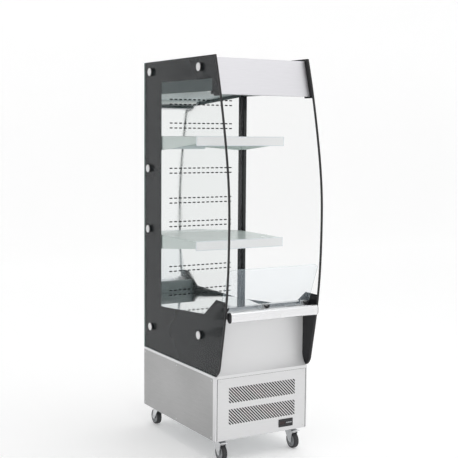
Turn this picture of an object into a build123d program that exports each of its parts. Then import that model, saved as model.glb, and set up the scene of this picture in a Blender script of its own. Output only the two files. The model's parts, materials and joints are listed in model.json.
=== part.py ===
# Open-front refrigerated display case with curved side glass, two shelves and a machine base on castors.
# X runs across, the front faces -Y, Z runs up from the floor. Sizes are in millimetres.
from build123d import *
import math
import os

os.makedirs("parts", exist_ok=True)

# Cabinet over the side glass
width = 495.0
glass_depth = 742.0
belly = 102.0
glass_height = 1428.0
glass_bottom = 400.0
edge_wall = 0.8
half = width / 2
rear = (glass_depth + belly + edge_wall) / 2
toe = rear - glass_depth
nose = toe - belly

# Side glass, its printed border and its rubber edge
glass_t = 6.0
toe_back, toe_forward, toe_height = 27.0, 28.0, 45.0
knee_forward, knee_height = 85.0, 357.0
belly_height = 714.0
brow_forward, brow_height = 60.0, 1071.0
crown_setback, crown_slope = 30.0, 0.31
print_t = 0.4
print_rear = 182.0
print_top = 103.0
print_corner = 12.0
window_rear_height = 233.0
window_front_depth, window_front_height = 124.0, 267.0
block_depth, block_height = 15.0, 348.0
tab_depth, tab_height = 46.0, 1248.0
edge_width = 6.0
side_gap = 0.3
inner = half - glass_t - print_t - side_gap
trim_inside = half - glass_t - print_t - edge_wall

# Round fixings that hold each side glass: distance behind the lower front corner, height
fixings = [(665, 1380), (167, 1380), (683, 908), (683, 607), (657, 117), (155, 164)]
fixing_radius = 19.0
fixing_length = 6.5
disc_t, disc_edge = 2.5, 0.8
stud_radius = 4.0
stud_hole = 4.3
stud_length = 18.0

# Sheet metal and insulation
sheet = 1.2
flange = 20.0
wall_foam = 39.0
tub_wall = 30.0
tub_floor = 35.0
fit_gap = 0.3

# Levels above the lower edge of the side glass
deck_level = 235.0
deck_edge = 7.0
riser_level = 302.0
canopy_level = 1270.0
ceiling_level = 1288.0
header_low, header_high = 1256.0, 1418.0
shelf_levels = {"lower": 588.0, "upper": 1070.0}
slot_levels = [289, 409, 633, 750, 898, 1120, 1236]

# Depths behind the lower front corner of the side glass
base_setback = 2.0
panel_setback = 33.0
header_low_setback, header_high_setback = 4.0, 51.0
canopy_setback = 63.0
shelf_setback = 213.0
wall_setback = 599.0
duct_depth = 101.0

# Air slots in the duct panel
duct_slot_length, duct_slot_height = 17.0, 6.0
duct_slot_pitch, duct_slot_rise = 26.0, 24.0
duct_slots = 14

# Shelf hooks and the slotted posts that carry them
post_gap = 8.0
post_width = 15.0
bracket_t = 2.0
bracket_inset = 3.5
bracket_rear, bracket_front = 66.0, 31.0
strip_height = 44.0
strip_t = 3.0
hook_height, hook_drop, hook_lift = 8.0, 5.0, 7.0
post_slot_pitch, post_slot_height, slot_drop = 30.0, 16.0, 58.0

# Front glass and bumper bar
front_glass_t = 5.0
front_glass_side = 238.0
front_glass_low = (-8.0, 296.0)
front_glass_high = (-88.0, 492.0)
front_glass_corner = 22.0
bar_depth, bar_height, bar_wall = 32.0, 48.0, 2.5
bar_level = 281.0
bar_half = 229.5
cap_t = 4.0
arm_spacing = 414.0

# Machine base
rail_height, rail_width = 12.0, 36.0
castor_height = 100.0
base_high = glass_bottom - rail_height
floor_t = 2.0
post_side, post_depth, post_strip = 26.0, 26.0, 6.0
groove = 3.0
grille_rim = 3.0
grille_width, grille_row_height = 358.0, 71.0
grille_row_tops = [57.0, 156.5]
grille_pitch, grille_slot = 10.3, 5.8

# Castors
castor_inset_x, castor_inset_y = 52.0, 62.0
castor_trail = 25.0
wheel_radius, wheel_width = 37.5, 24.0
axle_radius, king_radius = 5.0, 6.0
running_gap = 0.05
fork_t, fork_gap = 3.0, 2.0
plate_t = 3.0
pedal_reach, pedal_level, pedal_pin = 37.0, 82.0, 3.0

# Cooling machine
compressor_radius, compressor_height = 82.0, 160.0
condenser_width, condenser_height, condenser_depth = 340.0, 200.0, 60.0
condenser_fan_radius = 92.0
evaporator_width, evaporator_depth, evaporator_height = 360.0, 200.0, 150.0
evaporator_fan_radius = 74.0
fan_depth, shaft_radius = 24.0, 3.0
fan_blades, blade_t, blade_pitch, blade_chord = 5, 1.6, 24.0, 0.54
pipe_radius = 4.0
pipe_x, pipe_bend, pipe_hole, drier_radius = -200.0, 8.0, 5.0, 11.0
grommet_height = 12.0
drain_depth, drain_radius = 420.0, 10.0
controller_width, controller_height, controller_depth = 78.0, 37.0, 48.0
bezel_t = 2.0
key_width, key_height, key_travel, key_gap = 8.0, 5.0, 0.8, 0.4
inlet_width, inlet_height, inlet_rim = 48.0, 28.0, 1.5
rocker_width, rocker_height, rocker_tilt, rocker_pin = 13.0, 19.0, 7.0, 1.5


def deep(distance):
    # Y of a place this far behind the lower front corner of the side glass
    return toe + distance


def high(level):
    # Z of a place this far above the lower edge of the side glass
    return glass_bottom + level


def block(x, y, z, mode=Mode.ADD):
    # a box between two places on each axis
    centre = ((x[0] + x[1]) / 2, (y[0] + y[1]) / 2, (z[0] + z[1]) / 2)
    with Locations(centre):
        Box(x[1] - x[0], y[1] - y[0], z[1] - z[0], mode=mode)


def rod(centre, radius, length, axis, mode=Mode.ADD):
    # a cylinder about its centre, along X, Y or Z
    turn = {"X": (0, 90, 0), "Y": (90, 0, 0), "Z": (0, 0, 0)}[axis]
    with Locations(centre):
        Cylinder(radius, length, rotation=turn, mode=mode)


def keep(piece, name):
    piece.part.label = name
    export_step(piece.part, f"parts/{name}.step")


# Side glass outline, seen from the side
def glass_outline():
    with BuildSketch() as outline:
        with BuildLine():
            corner_end = (deep(-toe_forward), high(toe_height))
            corner = TangentArc((deep(toe_back), glass_bottom), corner_end, tangent=(-1, 0))
            lower = Spline(
                corner @ 1,
                (deep(-knee_forward), high(knee_height)),
                (nose, high(belly_height)),
                tangents=[corner % 1, (0, 1)],
            )
            upper = Spline(
                lower @ 1,
                (deep(-brow_forward), high(brow_height)),
                (deep(crown_setback), high(glass_height)),
                tangents=[(0, 1), (crown_slope, 1)],
            )
            Polyline(upper @ 1, (rear, high(glass_height)), (rear, glass_bottom), corner @ 0)
        make_face()
    return outline.sketch


outline = glass_outline()


def window_outline():
    # the clear window inside the printed border, shifted back from the front edge
    reach = nose - 50
    with BuildSketch() as window:
        with Locations((edge_width, 0)):
            add(outline)
        with BuildSketch(mode=Mode.INTERSECT):
            with BuildLine():
                Polyline(
                    (rear - print_rear, high(window_rear_height)),
                    (deep(window_front_depth), high(window_front_height)),
                    (deep(block_depth), high(block_height)),
                    (reach, high(block_height)),
                    (reach, high(tab_height)),
                    (deep(tab_depth), high(tab_height)),
                    (deep(canopy_setback), high(canopy_level)),
                    (deep(canopy_setback), high(glass_height - print_top)),
                    (rear - print_rear, high(glass_height - print_top)),
                    close=True,
                )
            make_face()
    return window.sketch


window = window_outline()

# Side glass, left and right, drilled for the fixings
for name, side in (("side_glass_left", -1), ("side_glass_right", 1)):
    with BuildPart() as side_glass:
        with BuildSketch(Plane.YZ.offset(side * (half - glass_t / 2))):
            add(outline)
            with Locations([(deep(d), high(h)) for d, h in fixings]):
                Circle(stud_radius + 1, mode=Mode.SUBTRACT)
        extrude(amount=glass_t / 2, both=True)
    keep(side_glass, name)

# Black border printed on the inner face of each side glass
with BuildPart() as glass_borders:
    with BuildSketch(Plane.YZ.offset(half - glass_t - print_t)):
        add(outline)
        add(window, mode=Mode.SUBTRACT)
        with Locations([(deep(d), high(h)) for d, h in fixings]):
            Circle(stud_radius + 1, mode=Mode.SUBTRACT)
    extrude(amount=print_t)
    mirror(about=Plane.YZ)
keep(glass_borders, "glass_borders")

# Rubber edge along the curved front of each side glass
with BuildPart() as glass_edge_trims:
    with BuildSketch(Plane.YZ.offset(trim_inside)):
        with Locations((-edge_wall, 0)):
            add(outline)
        with Locations((edge_width, 0)):
            add(outline, mode=Mode.SUBTRACT)
        with Locations((rear, high(glass_height / 2))):
            Rectangle(4 * edge_width, 2 * glass_height, mode=Mode.SUBTRACT)
    extrude(amount=half + edge_wall - trim_inside)
    with BuildSketch(Plane.YZ.offset(half - glass_t - print_t)):
        add(outline)
    extrude(amount=glass_t + print_t, mode=Mode.SUBTRACT)
    mirror(about=Plane.YZ)
keep(glass_edge_trims, "glass_edge_trims")

# Round fixings: a black spacer with its stud, and a steel disc
with BuildPart() as fixing_spacers:
    for d, h in fixings:
        rod((half + fixing_length / 2, deep(d), high(h)), fixing_radius, fixing_length, "X")
        rod((half - stud_length / 2, deep(d), high(h)), stud_radius, stud_length, "X")
    mirror(about=Plane.YZ)
keep(fixing_spacers, "fixing_spacers")

with BuildPart() as fixing_discs:
    for d, h in fixings:
        rod((half + fixing_length + disc_t / 2, deep(d), high(h)), fixing_radius, disc_t, "X")
    rims = fixing_discs.edges().filter_by(GeomType.CIRCLE).group_by(Axis.X)[-1]
    chamfer(rims, disc_edge)
    mirror(about=Plane.YZ)
keep(fixing_discs, "fixing_discs")


def drill_fixings(low, high_limit):
    # stud holes through both sides of a piece, for the fixings between two levels
    for d, h in fixings:
        if low < h < high_limit:
            rod((0, deep(d), high(h)), stud_hole, 2 * inner + 2, "X", mode=Mode.SUBTRACT)


# Insulated tub under the deck, open on top, with a tall front wall behind the front panel
tub_front = deep(panel_setback + sheet)
tub_inside = inner - tub_wall
tub_side_level = deck_level - deck_edge
wall_inside = deep(wall_setback + sheet + duct_depth)
evaporator_back = wall_inside - 150
with BuildPart() as tub:
    block((-inner, inner), (tub_front, wall_inside + wall_foam), (glass_bottom, high(tub_side_level)))
    riser_top = high(riser_level - sheet)
    block((-inner, inner), (tub_front, tub_front + tub_wall), (high(tub_side_level), riser_top))
    cavity = (tub_front + tub_wall, wall_inside)
    block((-tub_inside, tub_inside), cavity, (high(tub_floor), high(tub_side_level)), mode=Mode.SUBTRACT)
    for d, h in fixings:
        if h < tub_side_level:
            for side in (-1, 1):
                hole = (side * (inner - tub_wall / 4), deep(d), high(h))
                rod(hole, stud_hole, tub_wall / 2, "X", mode=Mode.SUBTRACT)
    rod((0, deep(drain_depth), high(tub_floor / 2)), drain_radius, tub_floor + 2, "Z", mode=Mode.SUBTRACT)
    for pipe_y in (evaporator_back - evaporator_depth + 20, evaporator_back - 20):
        rod((pipe_x, pipe_y, high(tub_floor / 2)), pipe_hole, tub_floor + 2, "Z", mode=Mode.SUBTRACT)
keep(tub, "tub")

# Steel front panel: flared foot, upright face and a folded top rim
panel_side = trim_inside - fit_gap
with BuildPart() as front_panel:
    with BuildSketch(Plane.YZ.offset(-panel_side)):
        with BuildLine():
            foot = Line((deep(base_setback), base_high), (deep(base_setback), high(2)))
            flare_top = (deep(panel_setback), high(62))
            flare = TangentArc(flare_top, foot @ 1, tangent=(0, -1))
            face = Line(flare_top, (deep(panel_setback), high(riser_level)))
            Line(face @ 1, (deep(panel_setback + tub_wall), high(riser_level)))
            offset(amount=sheet, side=Side.RIGHT)
        make_face()
    extrude(amount=2 * panel_side)
keep(front_panel, "front_panel")

# Lift-out deck plate with a folded rim and return air slots along its front
deck_front = deep(panel_setback + tub_wall + 4)
deck_back = deep(wall_setback) - 2 * fit_gap
deck_half = inner - 3
with BuildPart() as deck_plate:
    deck_z = (high(tub_side_level) + fit_gap, high(deck_level))
    block((-deck_half, deck_half), (deck_front, deck_back), deck_z)
    pocket_y = (deck_front + sheet, deck_back - sheet)
    pocket_z = (high(tub_side_level) - 1, high(deck_level) - sheet)
    block((-deck_half + sheet, deck_half - sheet), pocket_y, pocket_z, mode=Mode.SUBTRACT)
    with BuildSketch(Plane.XY.offset(high(deck_level))):
        with Locations((0, deck_front + 45)):
            with GridLocations(16, 1, 27, 1):
                SlotOverall(50, 6, rotation=90)
    extrude(amount=-2 * sheet, mode=Mode.SUBTRACT)
keep(deck_plate, "deck_plate")

# Evaporator: fins between two end plates, on its tubes
with BuildPart() as evaporator_coil:
    coil_y = (evaporator_back - evaporator_depth, evaporator_back)
    coil_z = (high(tub_floor), high(tub_floor) + evaporator_height)
    with Locations((0, sum(coil_y) / 2, sum(coil_z) / 2)):
        with GridLocations(12, 1, 29, 1):
            Box(1.0, evaporator_depth, evaporator_height)
    with Locations((0, sum(coil_y) / 2, sum(coil_z) / 2)):
        with GridLocations(evaporator_width, 1, 2, 1):
            Box(2.0, evaporator_depth, evaporator_height)
    with BuildSketch(Plane.YZ.offset(-evaporator_width / 2 - 10)):
        with Locations((sum(coil_y) / 2, sum(coil_z) / 2)):
            with GridLocations(40, 50, 5, 3):
                Circle(5)
    extrude(amount=evaporator_width + 20)
keep(evaporator_coil, "evaporator_coil")

# Evaporator fan on its plate, blowing back through the coil
fan_plate_y = deep(180)
evaporator_fan_z = high(tub_floor) + 95
with BuildPart() as evaporator_fan_plate:
    plate_z = (high(tub_floor), high(tub_side_level) - 1)
    block((-tub_inside + 1, tub_inside - 1), (fan_plate_y, fan_plate_y + 2), plate_z)
    hole = (0, fan_plate_y + 1, evaporator_fan_z)
    rod(hole, evaporator_fan_radius + 6, 4, "Y", mode=Mode.SUBTRACT)
    for side in (-1, 1):
        arm_x = (side * 30 - 4, side * 30 + 4)
        arm_z = (high(tub_floor), evaporator_fan_z + 32)
        block(arm_x, (fan_plate_y - 44, fan_plate_y - 40), arm_z)
        block(arm_x, (fan_plate_y - 40, fan_plate_y), (high(tub_floor), high(tub_floor) + 4))
keep(evaporator_fan_plate, "evaporator_fan_plate")


def fan(centre, radius, hub_radius):
    # an axial fan turning about Y: a bored hub and flat blades set at a pitch
    rod(centre, hub_radius, fan_depth, "Y")
    for index in range(fan_blades):
        turn = math.tau / fan_blades * index
        outward = (math.sin(turn), 0, math.cos(turn))
        across = (math.cos(turn), 0, -math.sin(turn))
        root = Plane(origin=centre, x_dir=across, z_dir=outward).offset(hub_radius - 6)
        with BuildSketch(root, mode=Mode.PRIVATE) as blade:
            Rectangle(radius * blade_chord, blade_t, rotation=blade_pitch)
        extrude(blade.sketch, amount=radius - hub_radius + 6)
    with BuildSketch(Plane.XZ.offset(-centre[1] - fan_depth), mode=Mode.PRIVATE) as ring:
        with Locations((centre[0], centre[2])):
            Circle(radius * 2)
            Circle(radius, mode=Mode.SUBTRACT)
    extrude(ring.sketch, amount=2 * fan_depth, mode=Mode.SUBTRACT)
    rod(centre, shaft_radius + running_gap, fan_depth + 2, "Y", mode=Mode.SUBTRACT)


with BuildPart() as evaporator_fan:
    evaporator_fan_y = fan_plate_y - 4
    fan((0, evaporator_fan_y, evaporator_fan_z), evaporator_fan_radius, 22)
keep(evaporator_fan, "evaporator_fan")

# Condenser coil behind the front grille, its shroud, fan and motor
coil_low = castor_height + 72
condenser_y = deep(base_setback + 30)
condenser_mid = coil_low + condenser_height / 2
with BuildPart() as condenser_coil:
    coil_middle = (0, condenser_y + condenser_depth / 2, condenser_mid)
    with Locations(coil_middle):
        with GridLocations(8, 1, 41, 1):
            Box(0.8, condenser_depth, condenser_height)
    with Locations(coil_middle):
        with GridLocations(condenser_width, 1, 2, 1):
            Box(2.0, condenser_depth + 10, condenser_height)
    with BuildSketch(Plane.YZ.offset(-condenser_width / 2 - 10)):
        with Locations((coil_middle[1], condenser_mid)):
            with GridLocations(22, 25, 3, 7):
                Circle(4)
    extrude(amount=condenser_width + 20)
keep(condenser_coil, "condenser_coil")

shroud_y = condenser_y + condenser_depth + 5 + fit_gap
with BuildPart() as condenser_shroud:
    shroud_x = condenser_width / 2 + 12
    shroud_z = (castor_height + floor_t, coil_low + condenser_height + 6)
    block((-shroud_x, shroud_x), (shroud_y, shroud_y + 2), shroud_z)
    rod((0, shroud_y + 16, condenser_mid), condenser_fan_radius + 6, 32, "Y")
    rod((0, shroud_y + 16, condenser_mid), condenser_fan_radius + 4, 40, "Y", mode=Mode.SUBTRACT)
    motor_bar_y = (shroud_y + 32, shroud_y + 35)
    for side in (-1, 1):
        bar_x = (side * 28 - 6, side * 28 + 6)
        block(bar_x, motor_bar_y, (castor_height + floor_t, condenser_mid + condenser_fan_radius + 6))
keep(condenser_shroud, "condenser_shroud")

with BuildPart() as condenser_fan:
    condenser_fan_y = shroud_y + 15
    fan((0, condenser_fan_y, condenser_mid), condenser_fan_radius, 26)
keep(condenser_fan, "condenser_fan")

motor_length = 55.0
with BuildPart() as fan_motors:
    front_motor_y = fan_plate_y - 44 - motor_length / 2
    rod((0, front_motor_y, evaporator_fan_z), 32, motor_length, "Y")
    rod((0, fan_plate_y - 20, evaporator_fan_z), shaft_radius, 48, "Y")
    back_motor_y = shroud_y + 35 + motor_length / 2
    rod((0, back_motor_y, condenser_mid), 38, motor_length, "Y")
    rod((0, shroud_y + 25, condenser_mid), shaft_radius, 22, "Y")
keep(fan_motors, "fan_motors")

# Insulated rear wall, standing on the tub
canopy_top = high(header_high)
with BuildPart() as rear_wall:
    wall_y = (wall_inside, wall_inside + wall_foam)
    block((-inner, inner), wall_y, (high(tub_side_level), canopy_top - sheet))
keep(rear_wall, "rear_wall")

# Polished duct panel with rows of air slots, shorter at both sides so that the shelf hooks pass
panel_half = inner - post_gap
with BuildPart() as duct_panel:
    panel_z = (high(tub_side_level), high(ceiling_level))
    block((-panel_half, panel_half), (deep(wall_setback), deep(wall_setback) + sheet), panel_z)
    with BuildSketch(Plane.XZ.offset(-deep(wall_setback))):
        for level in slot_levels:
            with Locations((0, high(level))):
                with GridLocations(duct_slot_pitch, duct_slot_rise, duct_slots, 2):
                    SlotOverall(duct_slot_length, duct_slot_height)
    extrude(amount=-2 * sheet, mode=Mode.SUBTRACT)
keep(duct_panel, "duct_panel")

# Slotted posts, which are the side walls of the rear duct
post_front = deep(wall_setback) + sheet
hook_x = inner - bracket_inset - bracket_t / 2
post_top = high(canopy_level) - 2
with BuildPart() as shelf_posts:
    post_z = (high(tub_side_level), post_top)
    block((inner - post_width, inner), (post_front, wall_inside), post_z)
    hollow_z = (post_z[0] - 1, post_z[1] + 1)
    hollow_x = (inner - post_width - 1, inner - sheet)
    block(hollow_x, (post_front + 1.5, wall_inside - 1.5), hollow_z, mode=Mode.SUBTRACT)
    for name, level in shelf_levels.items():
        first = high(level) - slot_drop
        with BuildSketch(Plane.XZ.offset(-post_front)):
            with Locations((hook_x, first)):
                Rectangle(bracket_t + 1.2, post_slot_height, align=(Align.CENTER, Align.MIN))
            with Locations((hook_x, first + post_slot_pitch)):
                Rectangle(bracket_t + 1.2, post_slot_height, align=(Align.CENTER, Align.MIN))
            for step in (-3, -2, -1, 3, 4, 5):
                with Locations((hook_x, first + step * post_slot_pitch)):
                    Rectangle(bracket_t + 1.2, post_slot_height, align=(Align.CENTER, Align.MIN))
        extrude(amount=-4, mode=Mode.SUBTRACT)
    drill_fixings(tub_side_level, canopy_level)
    mirror(about=Plane.YZ)
keep(shelf_posts, "shelf_posts")

# Shelves: a folded pan on two hooked brackets, and a label strip on the front edge
pan_half = inner - bracket_inset - bracket_t - fit_gap
strip_half = inner - 2.0
bracket_back = post_front - fit_gap
for name, level in shelf_levels.items():
    pan_top = high(level) - 2
    bracket_top = pan_top - sheet
    with BuildPart() as shelf:
        with BuildSketch(Plane.YZ.offset(inner - bracket_inset - bracket_t)):
            with BuildLine():
                Polyline(
                    (deep(shelf_setback) + 2 * sheet, bracket_top),
                    (bracket_back, bracket_top),
                    (bracket_back, bracket_top - bracket_rear),
                    (bracket_back - 40, bracket_top - bracket_rear),
                    (deep(shelf_setback) + 2 * sheet, bracket_top - bracket_front),
                    close=True,
                )
            make_face()
            for step in (0, 1):
                foot_z = high(level) - slot_drop + fit_gap + step * post_slot_pitch
                hook_back = post_front + 1.5 + fit_gap
                with Locations((bracket_back - 1, foot_z)):
                    Rectangle(hook_back - bracket_back + 4, hook_height, align=(Align.MIN, Align.MIN))
                with Locations((hook_back, foot_z - hook_drop)):
                    Rectangle(3, hook_height + hook_drop, align=(Align.MIN, Align.MIN))
        extrude(amount=bracket_t)
        ledge_x = (inner - bracket_inset - bracket_t - 14, inner - bracket_inset - bracket_t)
        block(ledge_x, (deep(shelf_setback) + 20, bracket_back - 3), (bracket_top - bracket_t, bracket_top))
        mirror(about=Plane.YZ)
        pan_y = (deep(shelf_setback), deep(wall_setback) - 3)
        block((-pan_half, pan_half), pan_y, (bracket_top, pan_top))
        skirt_half = pan_half - 16
        lip_z = (pan_top - 24, bracket_top)
        block((-pan_half, pan_half), (pan_y[0], pan_y[0] + sheet), lip_z)
        block((-skirt_half, skirt_half), (pan_y[1] - sheet, pan_y[1]), (pan_top - 16, bracket_top))
    keep(shelf, f"shelf_{name}")

    with BuildPart() as ticket_strip:
        strip_y = pan_y[0] - fit_gap
        strip_z = (high(level) - strip_height, high(level))
        block((-strip_half, strip_half), (strip_y - strip_t, strip_y), strip_z)
        groove_z = (strip_z[0] + 3, strip_z[1] - 3)
        block((-strip_half - 1, strip_half + 1), (strip_y - 2, strip_y - 1), groove_z, mode=Mode.SUBTRACT)
        face_z = (strip_z[0] + 5, strip_z[1] - 5)
        block((-strip_half - 1, strip_half + 1), (strip_y - 4, strip_y - 1), face_z, mode=Mode.SUBTRACT)
    keep(ticket_strip, f"ticket_strip_{name}")

# Canopy: side and top cover, ceiling over the shelves, air outlet, lamp and the header in front
header_t = sheet
header_fold = 22.0
canopy_front = deep(canopy_setback)
inside = inner - sheet
with BuildPart() as canopy_shell:
    shell_y = (canopy_front + header_t + fit_gap, wall_inside - fit_gap)
    block((-inner, inner), (shell_y[0], wall_inside + wall_foam), (high(canopy_level), canopy_top))
    step_y = canopy_front + header_fold + fit_gap
    step_z = canopy_top - header_t - fit_gap
    block((-inner - 1, inner + 1), (shell_y[0] - 1, step_y), (step_z, canopy_top + 1), mode=Mode.SUBTRACT)
    front_z = (high(canopy_level) - 1, step_z - sheet)
    block((-inside, inside), (shell_y[0] - 1, step_y + sheet), front_z, mode=Mode.SUBTRACT)
    inside_z = (high(canopy_level) - 1, canopy_top - sheet)
    block((-inside, inside), (step_y + sheet, wall_inside + wall_foam + 1), inside_z, mode=Mode.SUBTRACT)
    cut_y = (wall_inside - fit_gap, wall_inside + wall_foam + 1)
    block((-inner - 1, inner + 1), cut_y, inside_z, mode=Mode.SUBTRACT)
    drill_fixings(canopy_level, glass_height)
keep(canopy_shell, "canopy_shell")

outlet_y = (canopy_front + 8, canopy_front + 74)
with BuildPart() as canopy_ceiling:
    ceiling_z = (high(ceiling_level), high(ceiling_level) + sheet)
    block((-inside, inside), (outlet_y[1] + fit_gap, wall_inside - 60), ceiling_z)
    lip_y = (outlet_y[1] + fit_gap, outlet_y[1] + fit_gap + sheet)
    block((-inside, inside), lip_y, (ceiling_z[1], ceiling_z[1] + 20))
keep(canopy_ceiling, "canopy_ceiling")

with BuildPart() as honeycomb_outlet:
    outlet_z = (high(canopy_level) + 4, high(canopy_level) + 28)
    block((-inside, inside), outlet_y, outlet_z)
    with BuildSketch(Plane.XY.offset(outlet_z[0])):
        with Locations((0, sum(outlet_y) / 2)):
            with HexLocations(6.6, 37, 5):
                RegularPolygon(5.9, 6, major_radius=False)
    extrude(amount=outlet_z[1] - outlet_z[0], mode=Mode.SUBTRACT)
keep(honeycomb_outlet, "honeycomb_outlet")

with BuildPart() as lamp:
    lamp_y = outlet_y[1] + 36
    with BuildSketch(Plane.YZ.offset(-200)):
        with Locations((lamp_y, high(ceiling_level))):
            Rectangle(26, 8, align=(Align.CENTER, Align.MAX))
            with Locations((0, -8)):
                Circle(10)
        with Locations((lamp_y, high(ceiling_level) - fit_gap)):
            Rectangle(26, 30, align=(Align.CENTER, Align.MIN), mode=Mode.SUBTRACT)
    extrude(amount=400)
keep(lamp, "lamp")

header_half = inside - fit_gap
with BuildPart() as header_fascia:
    with BuildSketch(Plane.YZ.offset(-header_half)):
        with BuildLine():
            Polyline(
                (canopy_front + header_fold, high(header_high)),
                (deep(header_high_setback), high(header_high)),
                (deep(header_low_setback), high(header_low)),
                (canopy_front + 18, high(header_low)),
                (canopy_front + 18, outlet_z[0] - fit_gap),
            )
            offset(amount=header_t, side=Side.LEFT)
        make_face()
    extrude(amount=2 * header_half)
keep(header_fascia, "header_fascia")

# Low front glass, leaning out from three clamps on the front panel
glass_run = math.dist(front_glass_low, front_glass_high)
lean = (front_glass_high[0] - front_glass_low[0]) / glass_run
rise = (front_glass_high[1] - front_glass_low[1]) / glass_run
low_edge = (0, deep(front_glass_low[0]), high(front_glass_low[1]))
glass_plane = Plane(origin=low_edge, x_dir=(1, 0, 0), z_dir=(0, -rise, lean))


def front_pane(side, run_low, run_high, thickness, mode=Mode.ADD):
    # a pane in the plane of the front glass, with its upper corners rounded
    with BuildSketch(glass_plane.offset(-thickness / 2), mode=Mode.PRIVATE) as pane:
        with Locations((0, run_low)):
            Rectangle(2 * side, run_high - run_low, align=(Align.CENTER, Align.MIN))
        fillet(pane.vertices().group_by(Axis.Z)[-1], front_glass_corner)
    extrude(pane.sketch, amount=thickness, mode=mode)


with BuildPart() as front_glass:
    front_pane(front_glass_side, 0, glass_run, front_glass_t)
keep(front_glass, "front_glass")

# Steel brackets on the front panel: three glass clamps and the two arms of the bumper bar
clamp_width, clamp_level = 26.0, front_glass_low[1] - 12
bar_back = nose + bar_depth
with BuildPart() as front_brackets:
    for x in (-front_glass_side + 24, 0, front_glass_side - 24):
        clamp_x = (x - clamp_width / 2, x + clamp_width / 2)
        clamp_y = (deep(front_glass_low[0]) - 12, deep(front_glass_low[0]) + 10)
        block(clamp_x, (clamp_y[0], deep(panel_setback)), (high(clamp_level), high(clamp_level) + 4))
        block(clamp_x, clamp_y, (high(clamp_level), high(clamp_level) + 30))
    front_pane(front_glass_side + 1, 0, glass_run, front_glass_t, mode=Mode.SUBTRACT)
    for side in (-1, 1):
        arm_x = (side * arm_spacing / 2 - 3, side * arm_spacing / 2 + 3)
        block(arm_x, (bar_back, deep(panel_setback)), (high(bar_level) - 18, high(bar_level) + 12))
keep(front_brackets, "front_brackets")

# Bumper bar, a hollow rounded section, with a black cap at each end
bar_centre = (nose + bar_depth / 2, high(bar_level))
with BuildPart() as bumper_bar:
    with BuildSketch(Plane.YZ.offset(-bar_half)):
        with Locations(bar_centre):
            RectangleRounded(bar_depth, bar_height, bar_depth / 2 - 0.5)
            RectangleRounded(
                bar_depth - 2 * bar_wall,
                bar_height - 2 * bar_wall,
                bar_depth / 2 - 0.5 - bar_wall,
                mode=Mode.SUBTRACT,
            )
    extrude(amount=2 * bar_half)
keep(bumper_bar, "bumper_bar")

with BuildPart() as bumper_end_caps:
    with BuildSketch(Plane.YZ.offset(bar_half)):
        with Locations(bar_centre):
            RectangleRounded(bar_depth, bar_height, bar_depth / 2 - 0.5)
    extrude(amount=cap_t)
    chamfer(bumper_end_caps.faces().sort_by(Axis.X)[-1].edges(), 1.5)
    plug_wall = bar_wall + fit_gap
    with BuildSketch(Plane.YZ.offset(bar_half - 12)):
        with Locations(bar_centre):
            RectangleRounded(
                bar_depth - 2 * plug_wall,
                bar_height - 2 * plug_wall,
                bar_depth / 2 - 0.5 - plug_wall,
            )
    extrude(amount=12)
    mirror(about=Plane.YZ)
keep(bumper_end_caps, "bumper_end_caps")

# Rail between the glazed body and the machine base
base_front, base_back = deep(base_setback), wall_inside + wall_foam
rail_front = base_front + sheet + fit_gap
with BuildPart() as body_rail:
    rail_z = (base_high, glass_bottom)
    block((-half, half), (rail_front, base_back), rail_z)
    ring_x = half - rail_width
    block((-ring_x, ring_x), (rail_front + 60, base_back - rail_width), rail_z, mode=Mode.SUBTRACT)
keep(body_rail, "body_rail")

# Machine base: floor, corner posts, folded sides, rear panel and the slotted front panel
base_low = castor_height
with BuildPart() as base_floor:
    block((-half + sheet, half - sheet), (base_front + 6, base_back - sheet), (base_low, base_low + floor_t))
    vent_z = (base_low - 1, base_low + floor_t + 1)
    block((-90, 20), (deep(300), deep(350)), vent_z, mode=Mode.SUBTRACT)
keep(base_floor, "base_floor")

side_low = base_low + floor_t
with BuildPart() as base_sides:
    side_y = (base_front + post_depth, base_back)
    side_z = (side_low, base_high)
    block((half - flange, half), side_y, side_z)
    hollow_y = (side_y[0] - 1, side_y[1] - sheet)
    hollow_z = (side_low + sheet, base_high - sheet)
    block((half - flange - 1, half - sheet), hollow_y, hollow_z, mode=Mode.SUBTRACT)
    mirror(about=Plane.YZ)
keep(base_sides, "base_sides")

with BuildPart() as base_corner_posts:
    post_face = base_front + grille_rim
    with BuildSketch(Plane.XY.offset(side_low)):
        with BuildLine():
            Polyline(
                (half, base_front),
                (half, base_front + post_depth),
                (half - sheet, base_front + post_depth),
                (half - sheet, post_face + sheet),
                (half - post_side + sheet, post_face + sheet),
                (half - post_side + sheet, base_front + post_depth),
                (half - post_side, base_front + post_depth),
                (half - post_side, post_face),
                (half - post_strip, post_face),
                (half - post_strip, base_front),
                close=True,
            )
        make_face()
    extrude(amount=base_high - side_low)
    outer_edges = base_corner_posts.edges().filter_by(Axis.Z).group_by(Axis.X)[-1]
    fillet(outer_edges.sort_by(Axis.Y)[0], 2)
    mirror(about=Plane.YZ)
keep(base_corner_posts, "base_corner_posts")

rear_panel_half = half - sheet - 1
rear_face = base_back - sheet
inlet_x, inlet_z = 130.0, side_low + 60
with BuildPart() as base_rear_panel:
    rear_z = (side_low + sheet, base_high - sheet)
    block((-rear_panel_half, rear_panel_half), (rear_face - sheet, rear_face), rear_z)
    with BuildSketch(Plane.XZ.offset(-rear_face)):
        with Locations((-70, sum(rear_z) / 2)):
            with GridLocations(1, 14, 1, 14):
                SlotOverall(200, 6)
        with Locations((inlet_x, inlet_z)):
            Rectangle(inlet_width, inlet_height)
    extrude(amount=4, both=True, mode=Mode.SUBTRACT)
keep(base_rear_panel, "base_rear_panel")

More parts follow.
